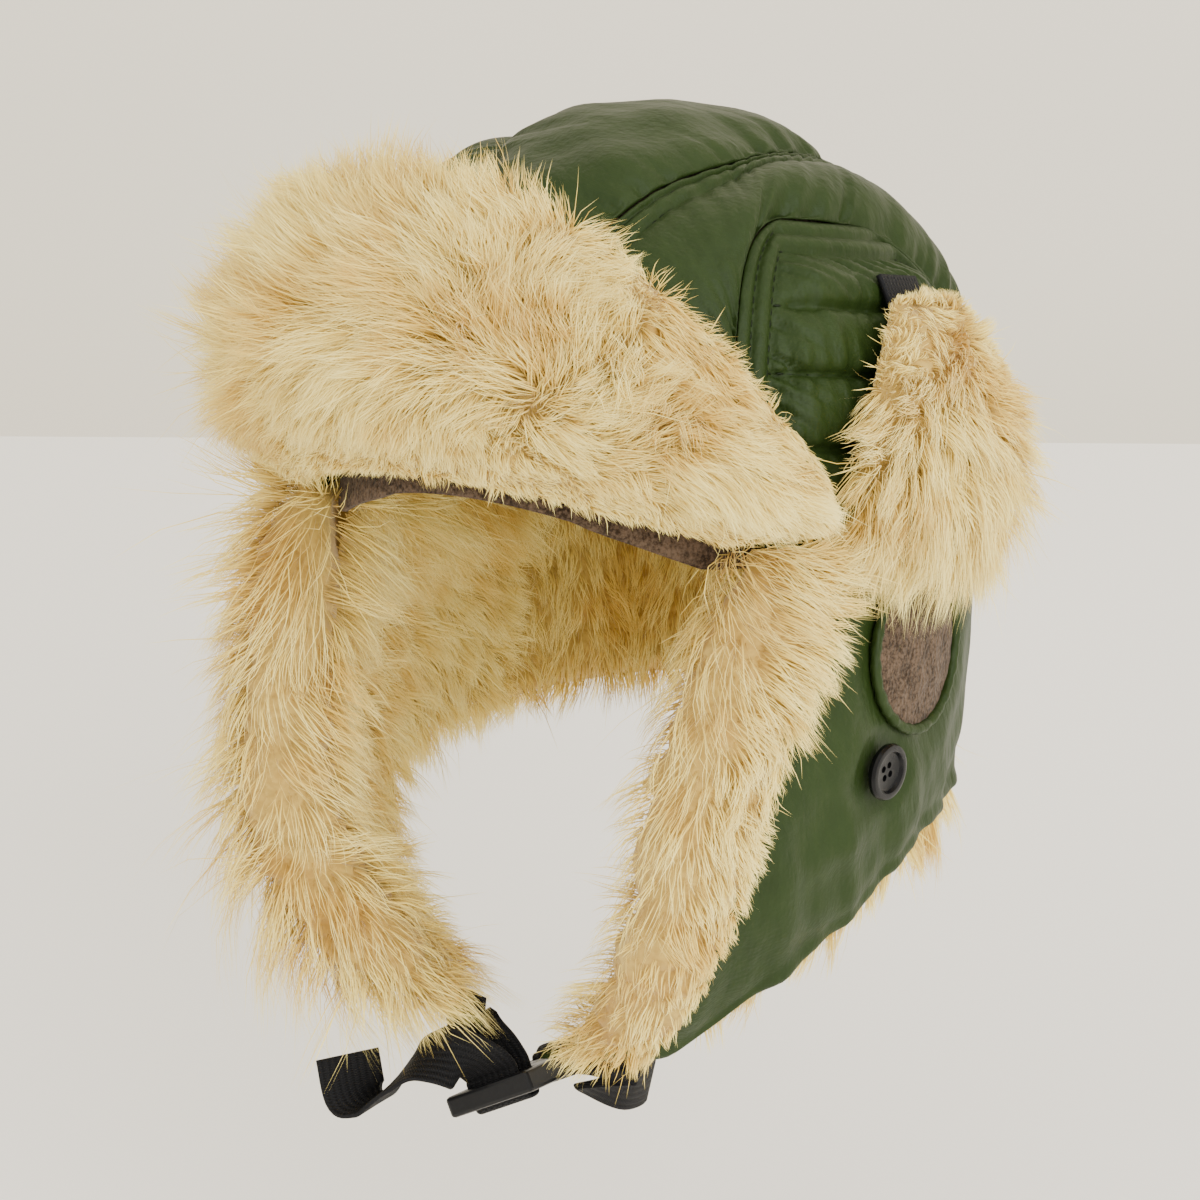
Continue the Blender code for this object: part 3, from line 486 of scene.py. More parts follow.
def furMaterial(name, settings):
    sheen = {"Sheen_Weight": 0.25, "Sheen_Roughness": 0.5}
    paintedGlow = settings["paintedGlow"]  # painted glow: emission in the strands' own colour that lifts the shade in the pile, standing in for light that passes through it
    material, tree, shader = baseMaterial(
        name, settings["mid"], settings["roughness"], Specular_IOR_Level=0.3, Emission_Strength=paintedGlow, **sheen
    )
    strand, height = strandPlace(tree, "OFBake")
    along = addNode(tree, "ValToRGB", {0: height})
    stops = along.color_ramp
    stops.elements[0].color = (*settings["root"], 1)
    stops.elements[1].color = (*settings["tip"], 1)
    stops.elements[1].position = 0.85
    stops.elements.new(0.38).color = (*settings["mid"], 1)
    where = coordinates(tree)
    patches = noiseNode(tree, where, 30.0, 3.0, 0.6)
    warm = mathNode(tree, "MULTIPLY", ramped(tree, patches, 0.44, 0.68), settings["patch"])
    own = mathNode(tree, "MULTIPLY", strand, settings["vary"])
    speckle = ramped(tree, noiseNode(tree, where, 420.0), 0.35, 0.65)
    deep = mathNode(tree, "MULTIPLY", ramped(tree, height, 0.35, 0.0), speckle)
    tone = along.outputs[0]
    for factor, tint in ((warm, "warm"), (own, "shade"), (deep, "deep")):
        tone = mixNode(tree, "MULTIPLY", factor, tone, settings[tint])
    # the strands also glow in their own colour: painted light that lifts their shade
    feed(tree, shader, {"Base Color": tone, "Emission Color": tone})
    return material


def knitMaterial(name, settings):
    material, tree, shader = baseMaterial(
        name, settings["dark"], 0.95, Specular_IOR_Level=0.1, Sheen_Weight=0.08
    )
    where = coordinates(tree)
    fleck = noiseNode(tree, where, 900.0, 2.0, 0.7)
    cloudy = noiseNode(tree, where, 160.0, 3.0, 0.6)
    tone = ramped(tree, sumNode(tree, fleck, 0.6, cloudy, 0.4), 0.36, 0.64)
    loops = addNode(tree, "TexVoronoi", {"Scale": settings["loops"], "Vector": stretched(tree, where, 0.6)})
    looped = bumpNode(tree, loops.outputs["Distance"], 0.7, 0.0006)
    finished = {
        "Base Color": mixNode(tree, "MIX", tone, settings["dark"], settings["light"]),
        "Normal": bumpNode(tree, fleck, 0.4, 0.0003, looped),
    }
    feed(tree, shader, finished)
    return material


def webbingMaterial(name, settings):
    material, tree, shader = baseMaterial(name, settings["color"], 0.7, Specular_IOR_Level=0.15)
    threads = zip(strandPlace(tree, "cloth"), (settings["ribs"], settings["picks"]))
    turned = [mathNode(tree, "MULTIPLY", place, number * 2 * pi) for place, number in threads]
    ribs, picks = (mathNode(tree, "SINE", wave) for wave in turned)
    height = sumNode(tree, ribs, 0.5, mathNode(tree, "MULTIPLY", ribs, picks), 0.5)
    finished = {
        "Base Color": mixNode(
            tree, "MIX", ramped(tree, height, -1.0, 1.0), settings["color"], settings["light"]
        ),
        "Normal": bumpNode(tree, height, 0.8, 0.0004),
    }
    feed(tree, shader, finished)
    return material


def plasticMaterial(name, settings):
    color, roughness = settings["color"], settings["roughness"]
    material, tree, shader = baseMaterial(name, color, roughness, Specular_IOR_Level=0.2)
    grain = noiseNode(tree, coordinates(tree), settings["grain"], 3.0, 0.6)
    finished = {
        "Base Color": mixNode(tree, "MIX", grain, color, settings["light"]),
        "Roughness": mathNode(tree, "ADD", mathNode(tree, "MULTIPLY", grain, 0.16), roughness - 0.08),
        "Normal": bumpNode(tree, grain, 0.15, 0.0002),
    }
    feed(tree, shader, finished)
    return material


nylonSettings = {
    "color": (0.0145, 0.029, 0.0046),
    "dark": (0.0075, 0.018, 0.0024),
    "light": (0.025, 0.044, 0.0080),
    "roughness": 0.50,
    "threads": 9000.0,
}
furSettings = {
    "root": (0.50, 0.33, 0.075),
    "mid": (0.85, 0.655, 0.16),
    "tip": (0.98, 0.845, 0.32),
    "warm": (0.82, 0.68, 0.42),
    "shade": (0.88, 0.84, 0.74),
    "deep": (0.80, 0.76, 0.70),
    "patch": 0.85,
    "vary": 0.4,
    "roughness": 0.7,
    # strength of the painted glow that lifts the pile's shade
    "paintedGlow": 0.08,
}
knitSettings = {"dark": (0.026, 0.0165, 0.0095), "light": (0.120, 0.080, 0.052), "loops": 700.0}
nylon = nylonMaterial("nylon_olive", nylonSettings)
fur = furMaterial("pile_cream", furSettings)
knit = knitMaterial("knit_taupe", knitSettings)
webbingSettings = {
    "color": (0.0035, 0.0035, 0.004),
    "light": (0.010, 0.010, 0.011),
    "ribs": 9.0,
    "picks": 260.0,
}
tapeSettings = {"color": (0.004, 0.004, 0.005), "light": (0.014, 0.014, 0.016), "ribs": 12.0, "picks": 12.0}
webbingCloth = webbingMaterial("webbing_black", webbingSettings)
hookTape = webbingMaterial("hook_tape_black", tapeSettings)
bucklePlastic = plasticMaterial(
    "buckle_plastic",
    {"color": (0.005, 0.005, 0.0055), "light": (0.010, 0.010, 0.0105), "roughness": 0.38, "grain": 900.0},
)
buttonPlastic = plasticMaterial(
    "button_plastic",
    {"color": (0.003, 0.003, 0.0035), "light": (0.006, 0.006, 0.0065), "roughness": 0.25, "grain": 300.0},
)
threadSettings = {
    **nylonSettings,
    "color": (0.004, 0.009, 0.001),
    "dark": (0.003, 0.007, 0.0008),
    "light": (0.006, 0.012, 0.0014),
    "threads": 4000.0,
}
thread = nylonMaterial("thread_olive", threadSettings)
print("materials made")

# Camera at the photograph's place
view = {"place": (0.4197, -0.7326, 0.3978), "turn": (62.573, 5.16, 28.443), "lens": 86.9, "sensor": 36.0}
camera = bpy.data.objects.new("camera", bpy.data.cameras.new("camera"))
camera.location = view["place"]
camera.rotation_euler = [radians(turn) for turn in view["turn"]]
camera.data.lens = view["lens"]
camera.data.sensor_width = view["sensor"]
camera.data.clip_start = 0.01
scene.collection.objects.link(camera)
scene.camera = camera


# Crown


crownDetail = {
    "centerGrid": (44, 240),
    "upperGrid": (54, 220),
    "sideGrid": (106, 106),
    "rowNear": 0.0024,  # topstitching beside a seam
    "rowFar": 0.0082,
    "sideRowNear": 0.0038,
    "sideRowFar": 0.0090,
    "pucker": 0.0019,
    "puckerReach": 0.012,
    "crumple": 0.0010,
}


def puckers(size, along, distance, seed, pitch=0.0095):
    # small creases that run away from a seam
    line = np.stack([along, 0 * along], 1)
    crease = -np.maximum(ripple(line, pitch, seed, 9) - 0.1, 0) ** 0.8
    near = np.exp(-distance / crownDetail["puckerReach"]) * ramp(distance, 0, 0.0022)
    return size * crownDetail["pucker"] * crease * near


def crumples(points, scale, seed):
    return crownDetail["crumple"] * ripple(points, scale, seed)


def groove(distance, width, depth):
    return -depth * np.exp(-((distance / width) ** 2))


def toEdges(t):
    # rows of the grid gather near both edges, where the seams are
    return t - 0.75 * np.sin(2 * pi * t) / (2 * pi)


def centerSurface(u, v):
    half = centerHalfAt(v)
    x = (2 * u - 1) * (half - halfGap)
    points = overTheTop(v, x)
    edge = np.minimum(u, 1 - u) * 2 * half
    lift = shell["puff"] * bump(u, 0.45) * bump(v, 0.7)
    lift += puckers(1.7, v * 0.33 + 3 * (u > 0.5), edge, 11, 0.013)
    lift += puckers(0.8, v * 0.33 + 3 * (u > 0.5), edge * 2.6, 13, 0.0055)
    lift += crumples(points, 0.03, 12) * ramp(edge, 0, 0.01)
    return raised(points, lift)


def upperSurface(u, v):
    near = overTheTop(v, centerHalfAt(v))
    y, z = archOutline(v)
    far = wallPoint(y, z)
    width = np.linalg.norm(far - near, axis=1)
    gap = halfGap / width
    share = gap + u * (1 - 2 * gap)
    points = near + (far - near) * share[:, None]
    points[:, 2] = np.maximum(points[:, 2], hemHeight(points[:, 0], points[:, 1]))
    points = seat(points)
    fromSeam, fromArch = u * width, (1 - u) * width
    rowNear, rowFar = crownDetail["rowNear"], crownDetail["rowFar"]
    rows = 0.0007 * bump(fromSeam / rowNear) + 0.0010 * bump((fromSeam - rowNear) / (rowFar - rowNear))
    inner = np.clip((fromSeam - rowFar) / np.maximum(width - rowFar, 1e-4), 0, 1)
    lift = rows + shell["puff"] * np.sin(pi * inner**1.25) ** 0.62 * bump(v, 0.7)
    lift += puckers(2.0, v * 0.33, fromArch, 21, 0.013)
    lift += puckers(1.0, v * 0.33, fromArch * 2.4, 24, 0.006)
    lift += puckers(0.7, v * 0.33, np.abs(fromSeam - rowFar) * 1.6, 22, 0.006)
    for row in (rowNear, rowFar):
        lift += groove(fromSeam - row, 0.0008, 0.0011)
    lift += crumples(points, 0.035, 23) * inner
    return raised(points, lift)


def quiltProfile(z):
    lines = (0.0, *side["quiltHeights"], side["archHeight"])
    lift = np.zeros(len(z))
    for low, high in zip(lines, lines[1:]):
        lift += np.where((z >= low) & (z < high), bump((z - low) / (high - low), 0.42), 0)
    return lift


def sideSurface(u, v):
    top = side["archHeight"] * side["archTopShare"] - halfGap
    z = halfGap + (top - halfGap) * v
    front, back = archEnd(z, -1) + halfGap, archEnd(z, 1) - halfGap
    y = front + (back - front) * u
    points = wallPoint(y, z)
    # distance in from the U seam
    inset = np.minimum(np.minimum(y - front, back - y), (top - z) * 1.05)
    near, far = crownDetail["sideRowNear"], crownDetail["sideRowFar"]
    rows = 0.0008 * bump(inset / near) + 0.0010 * bump((inset - near) / (far - near))
    channel = side["quiltPuff"] * quiltProfile(z) * ramp(inset, far, far + 0.010)
    lift = rows + channel + groove(inset - near, 0.0009, 0.0010) + groove(inset - far, 0.0010, 0.0013)
    lift += puckers(1.3, z * 1.1 + y * 0.7, np.maximum(inset - far, 0), 31, 0.006) * (inset > far)
    for number, height in enumerate((0.0, *side["quiltHeights"])):
        inside = ramp(inset, far, far + 0.006)
        lift += puckers(1.2, y + number, np.abs(z - height) * 1.5, 33 + number, 0.007) * inside
        lift += groove(z - height, 0.0011, 0.0017) * inside
    lift += crumples(points, 0.03, 32) * ramp(inset, far, far + 0.01)
    return raised(points, lift)


def addShell(name, mesh, material, slot, thickness, *nodes, rim=False, fill=None):
    faceOutwards(mesh)
    made = addWall(makeObject(name, mesh, material), thickness)
    made.modifiers["Wall"].use_rim_only = rim
    return ridePiece(made, slot, *nodes)


def addCloth(name, node, grid, surface, kind, mirrored=False, **how):
    mesh = gridMesh(name, *grid, surface, mirrored)
    return addShell(name, mesh, nylon, "nylon", thickness[kind], node, **how)


def crownCloth(name, node, grid, surface, fill, mirrored=False):
    edged = lambda u, v: surface(toEdges(u), v)
    addCloth(name, node, crownDetail[grid], edged, "crown", mirrored, rim=True, fill=fill)


crownCloth("crownCenter", "crown_center_panel", "centerGrid", centerSurface, 0.6)
for hand, mirrored in hands:
    crownCloth("crownUpper_" + hand, "crown_upper_panel_" + hand, "upperGrid", upperSurface, 0.6, mirrored)
    crownCloth("crownSide_" + hand, "crown_side_panel_" + hand, "sideGrid", sideSurface, 0.5, mirrored)
print("crown made")


# Lining


lining = {"grid": (110, 34), "inside": 0.0042, "ring": 0.16}  # ring is the share below the dome


def liningSurface(u, v):
    angle = 2 * pi * u
    up = np.sin(v * pi / 2)
    level = np.sqrt(np.maximum(1 - up**2, 0))
    x, y = halfWidth * level * np.sin(angle), -halfLength * level * np.cos(angle)
    hem = hemHeight(x, y) - 0.0045 - 0.0055 * ramp(-y, 0.03, 0.09)
    low = v < lining["ring"]
    climb = np.clip((v - lining["ring"]) / (1 - lining["ring"]), 0, 1) * pi / 2
    inward = np.where(low, 1, np.cos(climb))
    wall = hem + (bandHeight - hem) * v / lining["ring"]
    z = np.where(low, wall, bandHeight + domeHeight * np.sin(climb))
    ringX, ringY = halfWidth * np.sin(angle), -halfLength * np.cos(angle)
    points = seat(np.stack([ringX * inward, ringY * inward, z], 1))
    return raised(points, -lining["inside"])


mesh = cleanMesh(gridMesh("crownLining", *lining["grid"], liningSurface), 0.00002)
addShell("crownLining", mesh, knit, "knit", thickness["knit"], "crown_lining")
print("lining made")


# Ear flaps and neck


flapDetail = {
    "grid": (72, 92),
    "neckGrid": (84, 40),
    "fold": 0.0016,
    "edgeRoll": 0.0015,
    "patchY": -0.012,
    "patchZ": -0.034,
    "patch": (0.052, 0.050),
}
buttonPlace = {
    "y": -0.029,
    "z": -0.070,
    "radius": 0.0088,
    "wall": 0.0034,
    "lift": 0.0016,
    "hole": (0.00105, 0.0021),  # a thread hole's radius and its distance from the middle
}


def patchMask(y, z):
    across = (y - flapDetail["patchY"]) / (flapDetail["patch"][0] * 0.62)
    down = (z - flapDetail["patchZ"]) / (flapDetail["patch"][1] * 0.62)
    near = ((y - buttonPlace["y"]) ** 2 + (z - buttonPlace["z"]) ** 2) / (buttonPlace["radius"] * 1.4) ** 2
    return (1 - np.exp(-((across**2 + down**2) ** 3) * 0.7)) * (1 - np.exp(-(near**3) * 0.7))


def flapSurface(u, v):
    s = u * (1 - shell["seamGap"] / 12 / (flap["backY"] - flap["frontY"]))
    y, z = flapPlace(s, v)
    points = wallPoint(y, z)
    mask = patchMask(y, z)
    lift = flap["puff"] * bump(u, 0.5) * bump(v, 0.5) * mask
    # folds that fan down and forward from the button
    slant = (y + 0.55 * z) / 0.030 * 2 * pi
    folds = np.sin(slant + 1.3 * np.sin(z * 45)) * 0.6 + np.sin(slant * 2.3 + 1.0) * 0.25
    lift += flapDetail["fold"] * folds * ramp(-z, 0.05, 0.10) * bump(u, 0.4) * mask
    edge = np.minimum((1 - v) * flapDepth * 0.6, u * 0.1)
    lift += flapDetail["edgeRoll"] * (ramp(edge, 0, 0.0025) - ramp(edge, 0.0025, 0.009))
    lift += puckers(0.8, y, -z, 41, 0.010) * mask
    lift += 0.8 * crumples(points, 0.028, 42) * bump(u, 0.3) * mask
    return raised(points, lift)


def neckPoints(u, v, extra=0.0):
    start = pi - np.arccos(flap["backY"] / halfLength)
    angle = start + (2 * pi - 2 * start) * u
    centered = np.where(angle < pi, angle, 2 * pi - angle)
    seam = flap["edgeDown"][-1] * flapDepth
    share = (pi - centered) / (pi - start)
    lowest = -(flap["neckDrop"] + (seam - flap["neckDrop"]) * share**2) - extra
    z = -halfGap + (lowest + halfGap) * v
    size = wallShareAt(z)
    y = -halfLength * np.cos(angle) * size
    edge = np.abs(u - 0.5) * 2
    y = y + (flap["backY"] + shell["seamGap"] / 12 - y) * edge**6
    x = halfWidth * size * np.sqrt(np.maximum(1 - (y / (halfLength * size)) ** 2, 0))
    return np.stack([np.where(angle < pi, x, -x), y, z], 1)


def neckSurface(u, v):
    points = neckPoints(u, v)
    lift = flap["puff"] * bump(u, 0.45) * bump(v, 0.5)
    lift += crumples(points, 0.03, 52) * bump(u, 0.3)
    lift += puckers(0.9, u * 0.2, v * 0.07, 51)
    return raised(points, lift)


for hand, mirrored in hands:
    addCloth("earFlap_" + hand, "ear_flap_" + hand, flapDetail["grid"], flapSurface, "flap", mirrored, fill=0.3)
addCloth("neckPanel", "neck_panel", flapDetail["neckGrid"], neckSurface, "flap", fill=0.3)
print("flaps and neck made")


# Fur


def strandField(roots, normals, comb, lengths, settings, turn):
    # points of every strand, from its root to its tip: count x steps x 3
    steps = np.linspace(0, 1, settings["steps"])[None, :, None]
    down = np.array([0.0, 0.0, -1.0])
    rise = settings["rise"] * turn.uniform(0.7, 1.3, (len(roots), 1, 1))
    laid = np.linalg.norm(comb, axis=1)[:, None, None]
    start = normals[:, None] * rise + comb[:, None] * settings["lie"]
    settled = normals[:, None] * (rise * settings["settle"] * laid)
    bend = comb[:, None] * settings["bend"] - settled + down * settings["droop"]
    return roots[:, None] + lengths[:, None, None] * (start * steps + bend * steps**2)


def keepInside(strands):
    # shortens the strands that would leave the room for fabric around the solids
    low, high = np.array(furRoom["low"]), np.array(furRoom["high"])
    root, way = strands[:, :1], strands - strands[:, :1]
    over = np.where(way > 0, high - root, root - low) / np.maximum(np.abs(way), 1e-9)
    share = np.clip(over.min(axis=(1, 2)), 0.05, 1)
    return root + way * share[:, None, None]


furRoom = {"low": (-0.1432, -0.1740, -0.2000), "high": (0.1432, 0.1440, 0.1630)}


def nearestGuides(roots, turn, count):
    guides = turn.choice(len(roots), min(count, len(roots)), replace=False)
    tree = KDTree(len(guides))
    for index, guide in enumerate(guides):
        tree.insert(roots[guide], index)
    tree.balance()
    return guides[[tree.find(root)[1] for root in roots]]


def furMesh(name, surface, combing, settings, seed, mirrored=False):
    # surface(u, v) gives the base point, the outward direction and the pile's depth there
    turn = np.random.default_rng(seed)
    count = settings["count"] // 1
    pool = settings["count"] * 3
    u, v = turn.uniform(0, 1, pool), turn.uniform(0, 1, pool)
    # even density: keep places in proportion to the area that they stand for
    step = 0.004
    here, _, depth = surface(u, v)
    near = surface(np.clip(u + step, 0, 1), v)[0]
    far = surface(u, np.clip(v + step, 0, 1))[0]
    area = np.linalg.norm(np.cross(near - here, far - here), axis=1)
    kept = turn.uniform(0, 1, pool) < area / np.quantile(area, 0.97)
    u, v = u[kept][:count], v[kept][:count]
    # some strands cover the borders and lean over them
    rim = turn.uniform(0, 1, len(u)) < settings["rim"]
    border = turn.integers(0, 4, len(u))
    close = turn.uniform(0, 0.02, len(u))
    u = np.where(rim & (border == 0), close, np.where(rim & (border == 1), 1 - close, u))
    v = np.where(rim & (border == 2), close, np.where(rim & (border == 3), 1 - close, v))
    base, normals, depth = surface(u, v)
    across = unit(surface(np.clip(u + step, 0, 1), v)[0] - surface(np.clip(u - step, 0, 1), v)[0])
    along = unit(surface(u, np.clip(v + step, 0, 1))[0] - surface(u, np.clip(v - step, 0, 1))[0])
    a, b, reach = combing(u, v, base)
    a = a + 1.1 * rim * ((border == 1) * 1.0 - (border == 0))
    b = b + 1.1 * rim * ((border == 3) * 1.0 - (border == 2))
    flow = np.hypot(a, b)
    comb = unit(across * a[:, None] + along * b[:, None])
    base, normals, comb = (flipped(part, mirrored) for part in (base, normals, comb))
    away = normals
    sunk = np.where(rim, turn.uniform(0, 1, len(u)), 1)
    back = rim & (turn.uniform(0, 1, len(u)) < 0.45)
    normals = np.where(back[:, None], unit(comb * 0.9 - normals * 0.45), normals)
    roots = worn(hang(base + away * (depth * settings["under"] * sunk)[:, None]))
    normals, comb = worn(normals), worn(comb)
    shorter = 0.45 + 0.55 * np.clip(depth / settings["depth"], 0, 1)
    lengths = settings["length"] * shorter * reach * turn.uniform(0.65, 1.12, len(u))
    stray = turn.uniform(0, 1, len(u)) < settings["strays"]
    lengths[stray] *= 1.25
    comb = comb + turn.normal(0, settings["scatter"], comb.shape) * np.where(stray, 2.2, 1)[:, None]
    first = nearestGuides(roots, turn, settings["locks"][0][0])
    comb = comb * np.minimum(flow / 0.85, 1)[:, None] + turn.normal(0, settings["lockTurn"], comb.shape)[first]
    comb = comb / np.maximum(np.linalg.norm(comb, axis=1, keepdims=True), 1)
    lengths = lengths * turn.uniform(0.8, 1.15, len(u))[first]
    strands = strandField(roots, normals, comb, lengths, settings, turn)
    # locks: strands draw together towards the tip of the guide that is nearest, in large locks and small ones
    t = np.linspace(0, 1, settings["steps"])[None, :, None]
    for number, (locks, clump) in enumerate(settings["locks"]):
        nearest = first if number == 0 else nearestGuides(roots, turn, locks)
        pull = clump * np.where(stray, 0.1, 1)[:, None, None] * turn.uniform(0.6, 1.0, (len(u), 1, 1))
        leader = strands[nearest] - strands[nearest][:, :1]
        gathered = strands[:, :1] + leader + (strands[nearest][:, :1] - strands[:, :1]) * t * 0.85
        strands = strands + (gathered - strands) * pull * t**0.8
    wave = turn.uniform(0, 2 * pi, (len(u), 1, 1)) + t * turn.uniform(2, 6, (len(u), 1, 1))
    sway = lengths[:, None, None] * settings["curl"] * t * np.sin(wave)
    strands = keepInside(strands + np.cross(comb, normals)[:, None] * sway)
    return ribbonMesh(name, strands, normals, turn, settings)


def ribbonMesh(name, strands, normals, turn, settings):
    count, steps, _ = strands.shape
    tangent = np.gradient(strands, axis=1)
    flat = np.cross(tangent, normals[:, None] + turn.normal(0, 0.45, (count, 1, 3)))
    flat /= np.maximum(np.linalg.norm(flat, axis=2, keepdims=True), 1e-12)
    taper = np.linspace(1, 0, steps)[None, :, None] ** 0.7
    width = settings["width"] / 2 * taper * turn.uniform(0.7, 1.3, (count, 1, 1))
    left, right = strands - flat * width, strands + flat * width
    body = np.stack([left[:, :-1], right[:, :-1]], 2).reshape(count, -1, 3)
    points = np.concatenate([body, strands[:, -1:]], 1)
    each = points.shape[1]
    start = (np.arange(count) * each)[:, None]
    quads = [[2 * k, 2 * k + 1, 2 * k + 3, 2 * k + 2] for k in range(steps - 2)]
    tip = [2 * (steps - 2), 2 * (steps - 2) + 1, 2 * (steps - 2) + 2]
    corners = np.concatenate([np.array(quads).ravel(), tip]).astype(int)
    sizes = np.array([4] * len(quads) + [3])
    loops = (start + corners[None]).ravel()
    totals = np.tile(sizes, count)
    starts = np.concatenate([[0], np.cumsum(totals)[:-1]])
    mesh = bpy.data.meshes.new(name)
    mesh.vertices.add(count * each)
    mesh.vertices.foreach_set("co", points.reshape(-1).astype(np.float32))
    mesh.loops.add(len(loops))
    mesh.loops.foreach_set("vertex_index", loops.astype(np.int32))
    mesh.polygons.add(len(totals))
    mesh.polygons.foreach_set("loop_start", starts.astype(np.int32))
    mesh.polygons.foreach_set("loop_total", totals.astype(np.int32))
    mesh.update(calc_edges=True)
    height = np.concatenate([np.repeat(np.linspace(0, 1, steps)[:-1], 2), [1.0]])
    tone = turn.uniform(0, 1, count)
    uv = np.stack([np.repeat(tone, each), np.tile(height, count)], 1)
    layer = mesh.uv_layers.new(name="OFBake")
    layer.data.foreach_set("uv", uv[loops].ravel())
    return mesh


def underMesh(name, surface, share, grid, seed, mirrored=False):
    # the dense part of the pile below the strands, as a soft lumpy skin
    def place(u, v):
        base, normals, depth = surface(u, v)
        edge = np.minimum(np.minimum(u, 1 - u) / 0.09, np.minimum(v, 1 - v) / 0.10)
        lumps = 0.0014 * ripple(base, 0.008, seed) + 0.0007 * ripple(base, 0.0035, seed + 1)
        return base + normals * (depth * share * ramp(edge, 0, 1) + lumps * ramp(edge, 0, 1))[:, None]

    mesh = gridMesh(name, *grid, place, mirrored)
    faceBy(mesh, surface, mirrored)
    layer = mesh.uv_layers["cloth"]
    layer.name = "OFBake"
    count = len(mesh.loops)
    centers = np.empty(len(mesh.vertices) * 3)
    mesh.vertices.foreach_get("co", centers)
    tone = 0.5 + 0.25 * ripple(centers.reshape(-1, 3), 0.006, seed + 2)
    corners = np.empty(count, int)
    mesh.loops.foreach_get("vertex_index", corners)
    uv = np.stack([tone[corners], 0.12 * tone[corners]], 1)
    layer.data.foreach_set("uv", uv.ravel())
    return mesh


def faceBy(mesh, surface, mirrored):
    # turns a grid's faces to the side that the pile grows on
    middle = surface(np.array([0.5]), np.array([0.5]))
    away = worn(flipped(middle[1], mirrored))[0]
    place = worn(hang(flipped(middle[0], mirrored)))[0]
    centers, normals = faceData(mesh)
    near = np.argmin(((centers - place) ** 2).sum(1))
    if normals[near] @ away < 0:
        mesh.flip_normals()


def addFur(name, node, surface, combing, settings, seed, mirrored=False):
    under = underMesh(name + "Under", surface, settings["under"], settings["grid"], seed, mirrored)
    skin = addWall(makeObject(name + "Under", under, fur), thickness["skin"])
    ridePiece(skin, "fur", node)
    addPile(name + "Pile", node, surface, combing, settings, seed + 5, mirrored)


def addPile(name, node, surface, combing, settings, seed, mirrored=False):
    mesh = furMesh(name, surface, combing, settings, seed, mirrored)
    ridePiece(makeObject(name, mesh, fur, smooth=False), "fur", node)
    print(name, len(mesh.polygons), "faces of pile")


visor = {
    "left": 1.00,
    "right": 1.02,
    "height": 0.070,
    "stand": 0.006,
    "wall": 0.0025,
    "fur": 0.027,
    "along": (0.00, 0.14, 0.32, 0.54, 0.68, 0.79, 0.89, 1.00),
    "top": (0.50, 0.80, 1.00, 1.00, 0.88, 0.70, 0.46, 0.12),
}


def visorBase(u, v):
    angle = -visor["right"] + (visor["left"] + visor["right"]) * u
    footX, footY = halfWidth * np.sin(angle), -halfLength * np.cos(angle)
    top = visor["height"] * through(visor["along"], visor["top"], u)
    z = hemHeight(footX, footY) + 0.002 + v * top
    normal = unit(np.stack([footX / halfWidth ** 2, footY / halfLength ** 2, 0 * footX], 1))
    share = v * top / visor["height"]
    stand = 0.0009 + visor["wall"] + shell["puff"] * np.minimum(0.15 + share * 6, 1) + visor["stand"] * share
    return np.stack([footX, footY, z], 1) + normal * stand[:, None], normal


def visorPile(u, v):
    base, normal = visorBase(u, v)
    depth = visor["fur"] * (0.35 + 0.65 * bump(u, 0.3)) * bump(0.12 + 0.80 * v**0.8, 0.5)
    rise = 0.010 * v**3 - 0.008 * (1 - v) ** 3 * bump(u, 0.5)
    base = base + normal * 0.0004
    base[:, 2] += rise * 0.6
    return base, normal, depth


def visorComb(u, v, base):
    noise = ripple(base, 0.055, 61), ripple(base, 0.045, 62)
    small = ripple(base, 0.024, 63), ripple(base, 0.026, 64)
    right, left = ramp(u, 0.50, 0.82), ramp(u, 0.18, 0.0)
    low = ramp(v, 0.30, 0.0)
    whirl = np.exp(-(((u - 0.58) / 0.13) ** 2) - ((v - 0.38) / 0.3) ** 2)
    across = 1.3 * np.clip((u - 0.58) * 2.4, -0.75, 1.1) - 6.0 * whirl * (v - 0.38)
    across = across + 0.4 * noise[0] + 0.35 * small[0]
    along = np.clip((v - 0.36 - 0.10 * noise[1]) * 4.5, -1, 1)
    along = along * (1 - 0.55 * low) * (1 - 0.75 * right) * (1 - 0.8 * left) - 0.25 * right - 0.3 * left
    along = along + 12.8 * whirl * (u - 0.58) + 0.25 * noise[1] + 0.25 * small[1]
    reach = 0.20 + 0.85 * ramp(v, 0.02, 0.50) - 0.20 * ramp(v, 0.75, 1.0)
    reach = reach * (1 - 0.50 * right * ramp(v, 0.30, 0.80)) * (1 + 0.45 * left)
    reach = reach * (1 - 0.55 * ramp(u, 0.84, 1.0))
    reach = reach + 0.60 * ramp(u, 0.12, 0.0) * ramp(v, 0.3, 0.0)
    return across, along, reach


furPieces = {
    "visor": {
        "count": 23700, "grid": (100, 30), "steps": 4,
        "length": 0.026, "depth": 0.024, "under": 0.60, "width": 0.00043,
        "rise": 0.85, "lie": 0.40, "bend": 0.50, "settle": 0.50, "droop": 0.10, "scatter": 0.11, "strays": 0.05,
        "locks": ((800, 0.50), (5000, 0.38)), "lockTurn": 0.32, "rim": 0.13, "curl": 0.10,
    },
}
furPieces["flap"] = {
    **furPieces["visor"],
    "count": 23500, "grid": (46, 54), "length": 0.020, "depth": 0.018, "under": 0.55, "rise": 0.75,
    "locks": ((900, 0.48), (4500, 0.36)), "lockTurn": 0.24,
}
furPieces["neck"] = {
    **furPieces["flap"],
    "count": 7000, "grid": (56, 22), "steps": 3, "length": 0.018, "depth": 0.015,
    "locks": ((350, 0.6), (1800, 0.45)),
}
furPieces["cover"] = {
    **furPieces["flap"],
    "count": 12000, "grid": (36, 42), "length": 0.021, "depth": 0.017, "rim": 0.30,
    "locks": ((260, 0.55), (1300, 0.40)),
}
